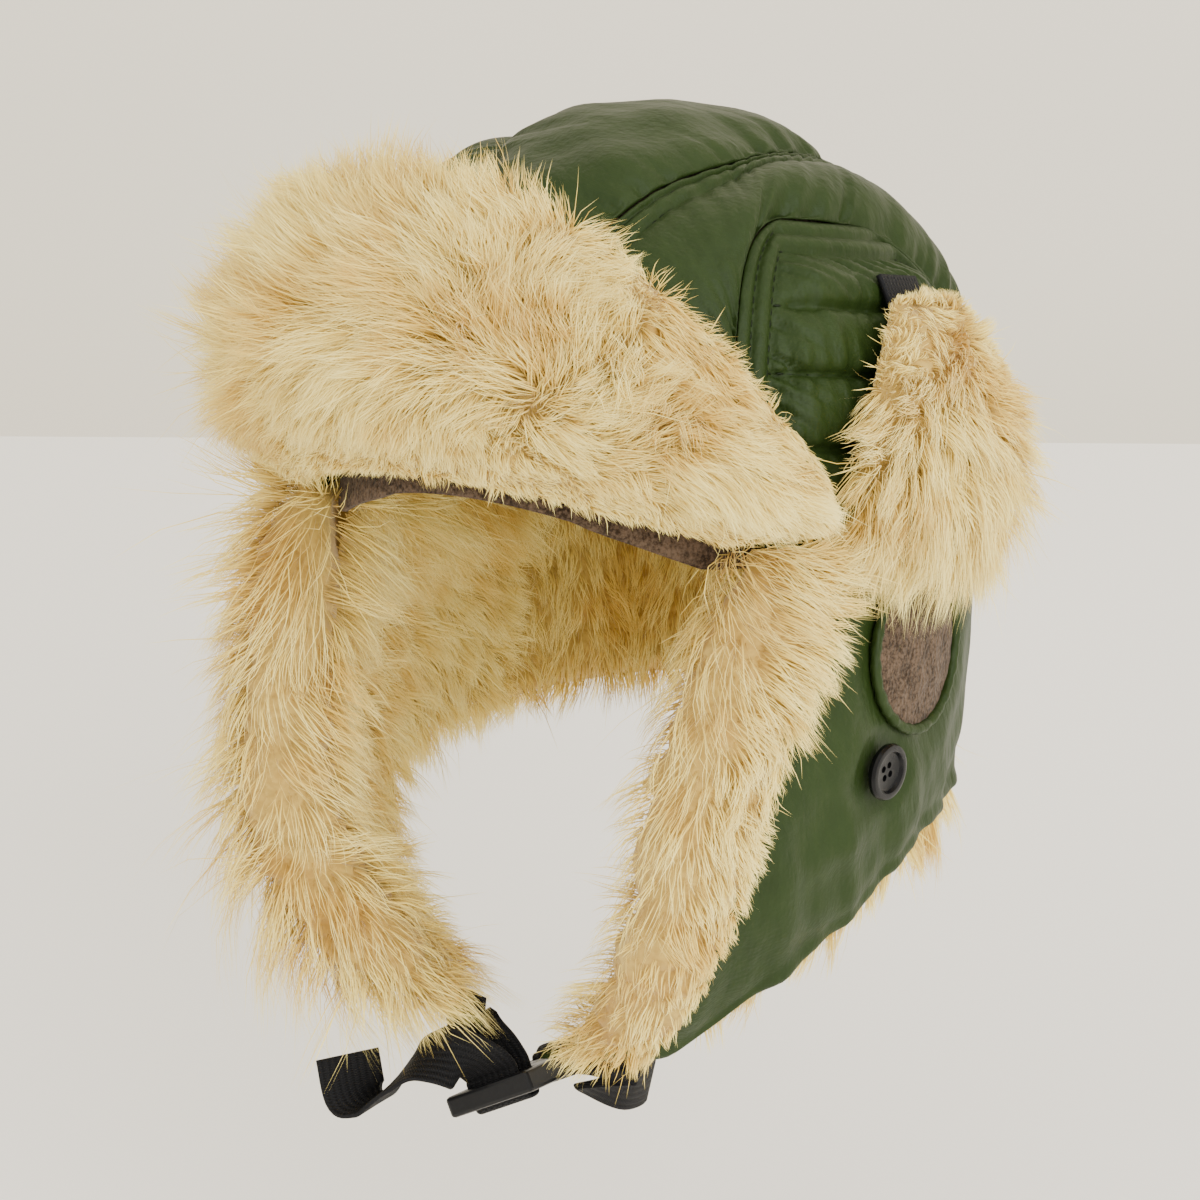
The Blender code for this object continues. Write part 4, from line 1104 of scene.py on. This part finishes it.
furPieces["fringe"] = {
    **furPieces["flap"],
    "count": 2600, "rim": 0.0, "length": 0.017, "depth": 0.010, "under": 0.0,
    "locks": ((160, 0.65), (800, 0.45)),
}
addFur("visorFur", "visor_fur", visorPile, visorComb, furPieces["visor"], 100)
addPile("visorFurTop", "visor_fur", visorPile, visorComb, furPieces["visor"], 120)

addCloth("visorBacking", "visor_backing", (90, 16), lambda u, v: visorBase(u, v)[0], "cover", fill=0.2)

flapPile = {
    "inside": 0.015,
    "front": 0.020,
    "outside": 0.012,
    "turn": 0.016,
    "overhang": 0.008,
    "top": 0.0046,
    "end": 0.88,
    "tipEnd": 0.955,
    "tipSlimmer": 0.4,
    "tipMore": 0.007,
    "clear": 0.0012,
    "edgeClear": 0.0021,
    "insidePart": 6 / 13,
    "turnPart": 10 / 13,
}


def flapPileSurface(u, v):
    inside, turned = flapPile["insidePart"], flapPile["turnPart"]
    width = flapPile["turn"] * (1 - 0.92 * v**1.6) / (flap["backY"] - flap["frontY"])
    insideDepth = flapPile["inside"] + flapPile["tipMore"] * v**2
    turn = np.clip(2 * (u - inside) / (turned - inside), 0, 2)
    share = np.clip((u - turned) / (1 - turned), 0, 1)
    s = np.where(u < inside, (1 - u / inside) * 0.99, share * width)
    frontDepth = flapPile["front"] * (1 - flapPile["tipSlimmer"] * v**4)
    sideDepth = np.where(turn < 1, insideDepth, flapPile["outside"])
    depth = np.where(
        u < inside,
        insideDepth * (0.45 + 0.55 * np.minimum(u / inside * 3, 1)),
        np.where(
            u < turned,
            sideDepth + (frontDepth - sideDepth) * np.sin(pi * turn / 2),
            flapPile["outside"] * np.sqrt(1 - share**2 * 0.9),
        ),
    )
    lowest = 1 + flapPile["overhang"] / flapDepth
    end = flapPile["tipEnd"] + (lowest - flapPile["tipEnd"]) * np.minimum(s / 0.3, 1)
    end = end + (flapPile["end"] - end) * np.clip(turn - 1, 0, 1)
    start = flapPile["top"] / (through(flap["along"], flap["edgeDown"], s) * flapDepth)
    packed = v * (1.4 - 0.4 * v)
    down = start + (end - start) * packed
    y, z = flapPlace(s, down)
    points = wallPoint(y, z)
    normal = outward(points)
    behind = wallPoint(*flapPlace(np.minimum(s + 0.05, 1), down))
    forward = unit(points - behind)
    wider = 0.7 + 1.3 * down**2
    clear = flapPile["clear"] * wider
    innerSide = points - normal * (shell["wall"] + clear)[:, None]
    outerSide = points + normal * (flap["puff"] * 1.6 + clear)[:, None]
    angle = pi * turn / 2
    around = innerSide + (outerSide - innerSide) * (turn / 2)[:, None]
    around = around + forward * (flapPile["edgeClear"] * (wider + np.sin(angle)))[:, None]
    away = unit(forward * np.sin(angle)[:, None] - normal * np.cos(angle)[:, None])
    base = np.where((turn <= 0)[:, None], innerSide, np.where((turn >= 2)[:, None], outerSide, around))
    away = np.where((turn <= 0)[:, None], -normal, np.where((turn >= 2)[:, None], normal, away))
    return base, away, depth * (0.55 + 0.45 * bump(0.06 + 0.88 * v, 0.4))


def flapCombing(tipReach, topReach, outReach):
    def comb(u, v, base):
        noise = ripple(base, 0.045, 71), ripple(base, 0.04, 72)
        parting = 0.62 + 0.06 * noise[1]
        small = ripple(base, 0.022, 73)
        low = ramp(v, 0.30, 0.75)
        outside = ramp(u, flapPile["turnPart"] - 0.08, 0.95)
        across = np.clip((u - parting) * 5.5, -1.1, 1.2) * (1 - 0.75 * low) * (1 - 0.45 * outside)
        across = across + (0.4 * noise[0] + 0.35 * small) * (1 - 0.5 * low)
        top = ramp(v, 0.32, 0.02)
        along = 0.75 + 0.25 * noise[1] - 1.1 * ramp(v, 0.22, 0.0) * outside + 0.3 * outside
        turned = ramp(u, flapPile["insidePart"], flapPile["turnPart"])
        reach = (1 + (tipReach - 1) * low * turned) * (1 + (outReach - 1) * outside * (1 - top))
        return across, along, reach * (1 + topReach * top)

    return comb


def tipPile(u, v):
    # longer hair over the lower end of the flap
    base, away, depth = flapPileSurface(0.25 + 0.75 * u, 0.80 + 0.20 * v)
    return base, away, depth * 0.8


def tipCombing(length):
    def comb(u, v, base):
        noise = ripple(base, 0.02, 77)
        return 0.4 * noise, 1.2 + 0.2 * noise, length * (0.8 + 0.25 * v)

    return comb


def fringePile(u, v):
    # the pile that shows below the flap's lower edge
    s = 0.10 + 0.89 * u
    points = wallPoint(*flapPlace(s, 0.955 + 0.05 * v))
    normal = outward(points)
    away = unit(normal * 0.55 + np.array([0.0, 0.25, -0.7]))
    return points - normal * 0.0045, away, np.full(len(u), 0.010)


def fringeComb(u, v, base):
    noise = ripple(base, 0.03, 75), ripple(base, 0.03, 76)
    return 0.35 + 0.5 * noise[0], 1.0 + 0.2 * noise[1], 0.75 + 0.35 * ramp(u, 0.2, 0.9) * (1 + 0.3 * noise[1])


flapReach = {"left": (0.5, 0.45, 0.75), "right": (1.75, 1.05, 1.85)}  # at the tip, the top and the outside
tipReach = {"left": 0.8, "right": 1.55}
for hand, mirrored in hands:
    seed = 200 if mirrored else 150
    node = "ear_flap_fur_" + hand
    comb = flapCombing(*flapReach[hand])
    tipComb = tipCombing(tipReach[hand])
    addFur("flapFur_" + hand, node, flapPileSurface, comb, furPieces["flap"], seed, mirrored)
    addPile("flapFringe_" + hand, node, fringePile, fringeComb, furPieces["fringe"], seed + 20, mirrored)
    addPile("flapTip_" + hand, node, tipPile, tipComb, furPieces["fringe"], seed + 30, mirrored)


def neckPile(u, v):
    points = neckPoints(0.012 + 0.976 * u, 0.12 + 0.88 * v, flapPile["overhang"])
    normal = outward(points)
    depth = flapPile["inside"] * (0.45 + 0.55 * bump(u, 0.4)) * (0.5 + 0.5 * bump(v, 0.5))
    return points - normal * (shell["wall"] + 0.0015), -normal, depth


def neckComb(u, v, base):
    noise = ripple(base, 0.05, 81), ripple(base, 0.045, 82)
    return 0.5 * noise[0], 0.9 + 0.3 * noise[1], 1 + 0.3 * ramp(v, 0.7, 1.0)


def neckFringe(u, v):
    points = neckPoints(0.02 + 0.96 * u, 0.94 + 0.07 * v)
    normal = outward(points)
    away = unit(normal * 0.5 + np.array([0.0, 0.0, -0.8]))
    return points - normal * 0.0045, away, np.full(len(u), 0.010)


addFur("neckFur", "neck_fur", neckPile, neckComb, furPieces["neck"], 300)
addPile("neckFringe", "neck_fur", neckFringe, neckComb, furPieces["fringe"], 320)


# Ear covers, tabs, patches, piping and buttons


cover = {
    "y": -0.013,
    "bottom": 0.003,
    "top": 0.066,
    "width": 0.070,
    "tipShare": 0.30,
    "wall": 0.0025,
    "fur": 0.017,
    "panel": 0.0040,  # how far the quilted side panel stands out there
    "clear": 0.0003,
    "tab": (0.020, 0.018, 0.0016),
}


def coverBase(u, v):
    z = cover["bottom"] + (cover["top"] - cover["bottom"]) * v
    half = cover["width"] / 2 * (cover["tipShare"] + (1 - cover["tipShare"]) * bump(0.28 + 0.69 * v, 0.8))
    points = wallPoint(cover["y"] + (2 * u - 1) * half, z)
    overPanel = cover["clear"] + cover["panel"] * np.minimum(0.6 + 4 * v, 1)
    overTab = (cover["tab"][2] + cover["clear"]) * np.minimum(2 * v, 1)
    stand = overPanel + overTab + cover["wall"]
    return raised(points, stand), outward(points)


def coverPile(u, v):
    base, normal = coverBase(u, v)
    depth = cover["fur"] * (0.35 + 0.65 * bump(u, 0.5)) * (0.22 + 0.78 * bump(0.12 + 0.83 * v, 0.6))
    base = base + normal * 0.0004
    base[:, 1] += (2 * u - 1) * 0.004
    base[:, 2] -= 0.008 * (1 - v) ** 3
    return base, normal, depth


def coverComb(u, v, base):
    noise = ripple(base, 0.04, 91), ripple(base, 0.035, 92)
    small = ripple(base, 0.020, 93), ripple(base, 0.018, 94)
    across = (u - 0.50) * 1.5 + 0.5 * noise[0] + 0.5 * small[0]
    along = np.clip((v - 0.72) * 3.0, -1, 0.1) + 0.3 * noise[1] + 0.3 * small[1]
    reach = 1.45 - 1.02 * ramp(v, 0.30, 0.88) - 0.15 * ramp(v, 0.90, 1.0)
    return across, along, reach


def hookSurface(u, v):
    width, height, wall = cover["tab"]
    z = cover["top"] - 0.55 * height + v * height
    points = wallPoint(cover["y"] - 0.7 * width + u * width, z)
    return raised(points, cover["panel"] + cover["clear"] + wall)


def discPoints(u, v, half):
    a, b = 2 * u - 1, 2 * v - 1
    return a * np.sqrt(1 - b * b / 2) * half[0], b * np.sqrt(1 - a * a / 2) * half[1]


def patchSurface(u, v):
    half = [size / 2 - 0.0006 for size in flapDetail["patch"]]
    across, up = discPoints(u, v, half)
    points = wallPoint(flapDetail["patchY"] + across, flapDetail["patchZ"] + up)
    far = np.hypot(across / half[0], up / half[1])
    lift = 0.0022 + 0.0012 * (1 - far**2) + 0.0002 * ripple(points, 0.008, 95)
    return raised(points, lift)


def tubeMesh(name, path, outwards, radius, sides=10, mirrored=False):
    # a closed tube along a closed path
    ahead = np.roll(path, -1, axis=0) - np.roll(path, 1, axis=0)
    across = unit(np.cross(ahead, outwards))
    up = unit(np.cross(across, ahead))
    angle = np.linspace(0, 2 * pi, sides, endpoint=False)
    ring = across[:, None] * np.cos(angle)[None, :, None] + up[:, None] * np.sin(angle)[None, :, None]
    points = flipped((path[:, None] + ring * radius[:, None, None]).reshape(-1, 3), mirrored)
    mesh = bpy.data.meshes.new(name)
    mesh.from_pydata(worn(hang(points)).tolist(), [], ringFaces(len(path), sides, True))
    return cleanMesh(mesh)


def pipingMesh(name, mirrored):
    angle = np.linspace(0, 2 * pi, 110, endpoint=False)
    y = flapDetail["patchY"] + flapDetail["patch"][0] / 2 * np.cos(angle)
    z = flapDetail["patchZ"] + flapDetail["patch"][1] / 2 * np.sin(angle)
    path = wallPoint(y, z)
    out = outward(path)
    gather = 1 + 0.10 * np.sin(angle * 31) + 0.06 * np.sin(angle * 17 + 1)
    return tubeMesh(name, path + out * 0.0027, out, 0.0017 * gather, 10, mirrored)


def buttonMesh(name, mirrored):
    bm = bmesh.new()
    radius, wall = buttonPlace["radius"], buttonPlace["wall"]
    profile = (
        (0.0, -wall / 2), (radius * 0.86, -wall / 2), (radius * 0.97, -wall * 0.25), (radius, wall * 0.12),
        (radius * 0.95, wall * 0.42), (radius * 0.84, wall / 2), (radius * 0.74, wall * 0.44),
        (radius * 0.68, wall * 0.10), (radius * 0.60, 0.0), (0.0, -wall * 0.02),
    )
    verts = [bm.verts.new((x, 0, z)) for x, z in profile]
    edges = [bm.edges.new(pair) for pair in zip(verts, verts[1:])]
    bmesh.ops.spin(
        bm,
        geom=verts + edges,
        cent=(0, 0, 0),
        axis=(0, 0, 1),
        angle=2 * pi,
        steps=56,
        use_merge=True,
        use_duplicate=False,
    )
    bmesh.ops.remove_doubles(bm, verts=bm.verts, dist=0.00001)
    bmesh.ops.recalc_face_normals(bm, faces=bm.faces)
    made = bpy.data.objects.new(name, finishMesh(bm, name))
    scene.collection.objects.link(made)
    holes = []
    for number in range(4):
        bm = bmesh.new()
        size, away = buttonPlace["hole"]
        bmesh.ops.create_cone(bm, cap_ends=True, segments=20, radius1=size, radius2=size, depth=0.02)
        angle = pi / 4 + number * pi / 2
        bmesh.ops.translate(bm, vec=(away * cos(angle), away * sin(angle), 0), verts=bm.verts)
        hole = bpy.data.objects.new("hole", finishMesh(bm, "hole"))
        scene.collection.objects.link(hole)
        holes.append(hole)
        drill = made.modifiers.new("Drill", "BOOLEAN")
        drill.operation = "DIFFERENCE"
        drill.solver = "EXACT"
        drill.object = hole
    bpy.context.view_layer.update()
    cut = bpy.data.meshes.new_from_object(made.evaluated_get(bpy.context.evaluated_depsgraph_get()))
    for spent in (made, *holes):
        bpy.data.meshes.remove(spent.data)
    point = wallPoint(np.array([buttonPlace["y"]]), np.array([buttonPlace["z"]]))
    point, out = flipped(point, mirrored), flipped(outward(point), mirrored)
    place = point + out * (buttonPlace["lift"] + wall / 2 + 0.0008)
    turned = Vector(worn(out)[0]).to_track_quat("Z", "Y").to_matrix().to_4x4()
    cut.transform(Matrix.Translation(worn(hang(place))[0]) @ turned)
    cut.name = name
    return cut


for hand, mirrored in hands:
    backing = lambda u, v: coverBase(u, v)[0]
    addCloth("earCover_" + hand, "ear_cover_" + hand, (30, 36), backing, "cover", mirrored, fill=0.2)
    seed = 450 if mirrored else 400
    node = "ear_cover_fur_" + hand
    addFur("coverFur_" + hand, node, coverPile, coverComb, furPieces["cover"], seed, mirrored)
    mesh = gridMesh("hookTab_" + hand, 16, 16, hookSurface, mirrored)
    addShell(mesh.name, mesh, hookTape, "hook_tape", thickness["tape"], "hook_tab_" + hand)
    mesh = gridMesh("earPatch_" + hand, 40, 40, patchSurface, mirrored)
    addShell(mesh.name, mesh, knit, "knit", thickness["knit"], "ear_patch_" + hand)
    mesh = pipingMesh("patchPiping_" + hand, mirrored)
    ridePiece(makeObject(mesh.name, mesh, nylon), "nylon", "patch_piping_" + hand)
    mesh = buttonMesh("button_" + hand + "_four_hole", mirrored)
    mesh.shade_smooth()
    mesh.set_sharp_from_angle(angle=0.6)
    ridePiece(makeObject(mesh.name, mesh, buttonPlastic, smooth=False), "button_plastic", "button_" + hand)
print("covers, patches and buttons made")


# Stitching


stitch = {"length": 0.0026, "gap": 0.0011, "radius": 0.00042}


def stitchTemplate():
    bm = bmesh.new()
    bmesh.ops.create_uvsphere(bm, u_segments=5, v_segments=4, radius=1)
    for vert in bm.verts:
        x, y, z = vert.co
        vert.co = (z * stitch["length"] / 2, x * stitch["radius"], y * stitch["radius"] * 0.7)
    return finishMesh(bm, "stitch")


def sampled(at, reach, rows):
    return np.stack([np.interp(at, reach, rows[:, k]) for k in range(3)], 1)


def stitchPlaces(line, out, mirrored=False):
    # evenly spaced places along a line on the cloth
    line, out = worn(hang(flipped(line, mirrored))), worn(flipped(out, mirrored))
    steps = np.linalg.norm(np.diff(line, axis=0), axis=1)
    reach = np.concatenate([[0], np.cumsum(steps)])
    count = int(reach[-1] / (stitch["length"] + stitch["gap"]))
    at = (np.arange(count) + 0.5) * reach[-1] / max(count, 1)
    middle = sampled(at, reach, line)
    along = unit(sampled(at + 0.0004, reach, line) - sampled(at - 0.0004, reach, line))
    up = unit(sampled(at, reach, out))
    across = unit(np.cross(up, along))
    up = np.cross(along, across)
    places = np.zeros((count, 4, 4))
    places[:, :3, 0], places[:, :3, 1], places[:, :3, 2] = along, across, up
    places[:, :3, 3] = middle + up * stitch["radius"] * 0.35
    places[:, 3, 3] = 1
    return places


def rowOn(surface, u, v):
    # a line on a surface with its outward direction
    line = surface(u, v)
    return line, outward(line)


def stitchRows():
    rows = []
    v = np.linspace(0.03, 0.97, 500)
    near = overTheTop(v, centerHalfAt(v))
    y, z = archOutline(v)
    width = np.linalg.norm(wallPoint(y, z) - near, axis=1)
    for mirrored in (False, True):
        for distance in (crownDetail["rowNear"], crownDetail["rowFar"]):
            rows.append(stitchPlaces(*rowOn(upperSurface, distance / width, v), mirrored))
        for distance in (crownDetail["sideRowNear"], crownDetail["sideRowFar"]):
            rows.append(stitchPlaces(*archRow(distance), mirrored))
        for height in side["quiltHeights"]:
            rows.append(stitchPlaces(*quiltRow(height), mirrored))
    return np.concatenate(rows)


def sideRow(y, z):
    top = side["archHeight"] * side["archTopShare"]
    u = (y - archEnd(z, -1)) / (archEnd(z, 1) - archEnd(z, -1))
    return rowOn(sideSurface, u, (z - halfGap) / (top - shell["seamGap"]))


def archRow(distance):
    # a line inside the side panel at an even distance from its U seam
    legs = np.linspace(0.004, side["archHeight"] * side["archTopShare"] - distance, 160)
    front = archEnd(legs, -1) + distance
    back = archEnd(legs, 1) - distance
    keep = front < back
    y = np.concatenate([front[keep], back[keep][::-1]])
    return sideRow(y, np.concatenate([legs[keep], legs[keep][::-1]]))


def quiltRow(height):
    inset = crownDetail["sideRowFar"]
    y = np.linspace(archEnd(height, -1) + inset, archEnd(height, 1) - inset, 160)
    return sideRow(y, np.full(160, height))


mesh = joinedCopies("topstitching", stitchTemplate(), stitchRows())
ridePiece(makeObject("topstitching", mesh, thread), "nylon")
print("stitching made")


# Straps and buckle


strap = {
    "width": 0.020,
    "wall": 0.0014,
    "place": (0.000, -0.070, -0.1860),
    "turn": -0.51,
    "length": 0.052,
    "buckleWall": 0.0068,
    "bar": 0.0035,
    "slot": 0.0042,
    "clear": 0.0031,
    "sewn": {1: (0.06, 0.16), -1: (0.0, 0.1)},
    "leftLoop": (
        (0.0305, 0.020, 0.0070, 0.8, -0.1, 0.5), (0.0310, 0.040, 0.0020, 0.3, 0.0, 0.9),
        (0.0250, 0.062, 0.0000, 0.1, 0.1, 1.0), (0.0100, 0.070, 0.0000, 0.5, 0.1, 0.8),
    ),
    "rightDrop": ((-0.0080, 0.0125, 0.0120, 0.75, -0.1, 0.6),),
    "tail": (
        (-0.0060, 0.0000, 0.0100, 0.8, 0.3, 0.4), (-0.0128, -0.0065, 0.0110, 0.4, 0.7, 0.5),
        (-0.0200, -0.0095, 0.0090, 0.1, 0.8, 0.6), (-0.0265, -0.0100, 0.0020, 0.1, 0.8, 0.5),
        (-0.0347, -0.0100, -0.0085, 0.3, 0.8, 0.3), (-0.0415, -0.0100, -0.0075, 0.7, 0.6, -0.1),
        (-0.0462, -0.0100, 0.0050, 0.8, 0.5, 0.1),
    ),
}
bucklePlace = Matrix.Translation(strap["place"]) @ Matrix.Rotation(strap["turn"], 4, "Y")


def sewnSections(way):
    corners = []
    for share in strap["sewn"][way]:
        point = wallPoint(*flapPlace(np.array([share]), np.array([1.0])))
        point = (point - outward(point) * shell["wall"] / 2) * (way, 1, 1)
        corners.append(Vector(hang(point)[0]))
    front, back = corners
    width = (front - back) * way
    width.z = 0
    start = (front + back) / 2 - Vector((0, 0, strap["clear"]))
    lead = start + Vector((0, 0, 0.010))
    return [(lead, width), (start, width), (start - Vector((0, 0, 0.002)), width)]


def buckleSections(steps):
    across = bucklePlace.to_3x3() @ Vector((1, 0, 0))
    return [(bucklePlace @ Vector((0, y, z)), across) for y, z in steps]


def freeSections(table):
    return [(Vector(strap["place"]) + Vector(row[:3]), Vector(row[3:])) for row in table]


def smoothPath(points, steps):
    points = np.array(points)
    ends = np.concatenate([[2 * points[0] - points[1]], points, [2 * points[-1] - points[-2]]])
    t = np.linspace(0, 1, steps, endpoint=False)[:, None]
    line = []
    for a, b, c, d in zip(ends, ends[1:], ends[2:], ends[3:]):
        line.append(
            0.5 * (2 * b + (c - a) * t + (2 * a - 5 * b + 4 * c - d) * t * t + (3 * b - a - 3 * c + d) * t**3)
        )
    return np.concatenate([*line, points[-1:]])


def strapMesh(name, sections):
    middles = smoothPath([tuple(middle) for middle, _ in sections], 8)
    widths = smoothPath([tuple(width.normalized()) for _, width in sections], 8)
    tangent = unit(np.gradient(middles, axis=0))
    widths = unit(widths - tangent * (widths * tangent).sum(1)[:, None])
    thick = unit(np.cross(tangent, widths))
    # a flat oval section with rounded edges
    shape = (
        (1.0, 0.0), (0.985, 0.7), (0.94, 1.0), (0.5, 1.0),
        (0.0, 1.0), (-0.5, 1.0), (-0.94, 1.0), (-0.985, 0.7),
        (-1.0, 0.0), (-0.985, -0.7), (-0.94, -1.0), (-0.5, -1.0),
        (0.0, -1.0), (0.5, -1.0), (0.94, -1.0), (0.985, -0.7),
    )
    half, wall = strap["width"] / 2, strap["wall"] / 2
    points = np.stack([middles + widths * a * half + thick * b * wall for a, b in shape], 1).reshape(-1, 3)
    sides, count = len(shape), len(middles)
    reach = np.concatenate([[0], np.cumsum(np.linalg.norm(np.diff(middles, axis=0), axis=1))])
    faces, uvs = ringFaces(count, sides, False), []
    for low, high in zip(reach / 0.2, reach[1:] / 0.2):
        for n in range(sides):
            a, b = (shape[k][0] / 2 + 0.5 for k in (n, (n + 1) % sides))
            uvs += [(a, low), (b, low), (b, high), (a, high)]
    for end in (0, (count - 1) * sides):
        faces.append(tuple(end + n for n in range(sides)))
        uvs += [(0.5, 0.0)] * sides
    mesh = bpy.data.meshes.new(name)
    mesh.from_pydata(worn(points).tolist(), [], faces)
    layer = mesh.uv_layers.new(name="cloth")
    layer.data.foreach_set("uv", np.array(uvs).ravel())
    return cleanMesh(mesh)


rise = strap["buckleWall"] / 2
clear = rise + strap["wall"] / 2 + 0.0003
hole = strap["length"] - strap["bar"] - strap["slot"] / 2
endBar = strap["length"] - strap["bar"] / 2
beyond = strap["length"] + strap["slot"] / 2
roundTheEnd = (
    (beyond + 0.003, clear + 0.001), (endBar, clear + 0.0004), (hole + 0.0008, clear),
    (hole, rise - 0.001), (hole, 0.0), (hole, 0.001 - rise),
    (hole + 0.0008, -clear), (endBar, -clear - 0.0004), (beyond + 0.005, -clear),
)
outer = strap["bar"] + strap["slot"] / 2
inner = outer + strap["bar"] + strap["slot"]
underTheBar = (
    (inner, clear + 0.003), (inner, clear), (inner, 0.0), (inner, 0.001 - rise), (inner - 0.0008, -clear),
    ((inner + outer) / 2, -clear - 0.0004), (outer + 0.0008, -clear), (outer, 0.001 - rise), (outer, 0.0),
    (outer, clear), (outer, clear + 0.002),
)
leftWay = sewnSections(1) + freeSections(strap["leftLoop"]) + buckleSections(roundTheEnd)
rightWay = sewnSections(-1) + freeSections(strap["rightDrop"]) + buckleSections(underTheBar)
for hand, way in (("left", leftWay), ("right", rightWay + freeSections(strap["tail"]))):
    mesh = strapMesh("chinStrap_" + hand, way)
    ridePiece(makeObject(mesh.name, mesh, webbingCloth), "webbing", "strap_" + hand)
for node in ("buckle_female", "buckle_male"):
    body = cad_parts[node]
    body.data.materials.clear()
    body.data.materials.append(bucklePlastic)
print("straps and buckle made")


# Floor, backdrop and light


studio = {
    "floorZ": -0.300,
    "edge": ((-0.741, 0.497), (-0.044, 0.701)),  # two points of the table's back edge
    "wallAway": 0.65,
    "reach": 4.0,
    "floor": (0.98, 0.955, 0.905),
    "wall": (0.99, 0.93, 0.80),
    "sky": (1.0, 0.95, 0.85),
    "skyStrength": 1.30,
    "below": 0.5,  # how far the backdrop goes on below the floor
    "tall": 3.5,
    "lights": (  # name, place, power in watts, size and colour
        ("key", (-0.9, -1.2, 1.8), 15, 2.0, (1.0, 0.97, 0.92)),
        ("fill", (1.7, -0.9, 1.0), 56, 1.8, (0.97, 0.98, 1.0)),
        ("top", (0.5, 0.4, 1.9), 6, 1.8, (1.0, 0.985, 0.96)),
    ),
    "lightsAim": (0, 0, -0.02),
}


def plane(name, corners, color):
    bm = bmesh.new()
    bm.faces.new([bm.verts.new(corner) for corner in corners])
    mesh = finishMesh(bm, name)
    material, tree, shader = baseMaterial(name, color, 0.85)
    mottle = noiseNode(tree, coordinates(tree), 3.0, 4.0, 0.5)
    tone = mixNode(tree, "MIX", mottle, color, tuple(part * 0.97 for part in color))
    feed(tree, shader, {"Base Color": tone})
    made = makeObject(name, mesh, material, smooth=False)
    return made


ends = [Vector((*point, studio["floorZ"])) for point in studio["edge"]]
sideways = (ends[1] - ends[0]).normalized() * studio["reach"]
back = Vector((-sideways.y, sideways.x, 0)).normalized()
edge = (ends[0] + ends[1]) / 2
near = edge - back * studio["reach"]
plane("floor", [edge - sideways, near - sideways, near + sideways, edge + sideways], studio["floor"])
behind = edge + back * studio["wallAway"] - Vector((0, 0, studio["below"]))
tall = Vector((0, 0, studio["tall"]))
foot, far = behind - sideways, behind + sideways
plane("backdrop", [foot, far, far + tall, foot + tall], studio["wall"])


def areaLight(name, place, power, size, color):
    data = bpy.data.lights.new(name, "AREA")
    data.energy = power
    data.size = size
    data.color = color
    made = bpy.data.objects.new(name, data)
    made.location = place
    made.rotation_euler = (Vector(studio["lightsAim"]) - Vector(place)).to_track_quat("-Z", "Y").to_euler()
    scene.collection.objects.link(made)


for light in studio["lights"]:
    areaLight(*light)
world = bpy.data.worlds.new("studio")
world.use_nodes = True
background = world.node_tree.nodes["Background"]
background.inputs["Color"].default_value = (*studio["sky"], 1)
background.inputs["Strength"].default_value = studio["skyStrength"]
scene.world = world
print("studio made")
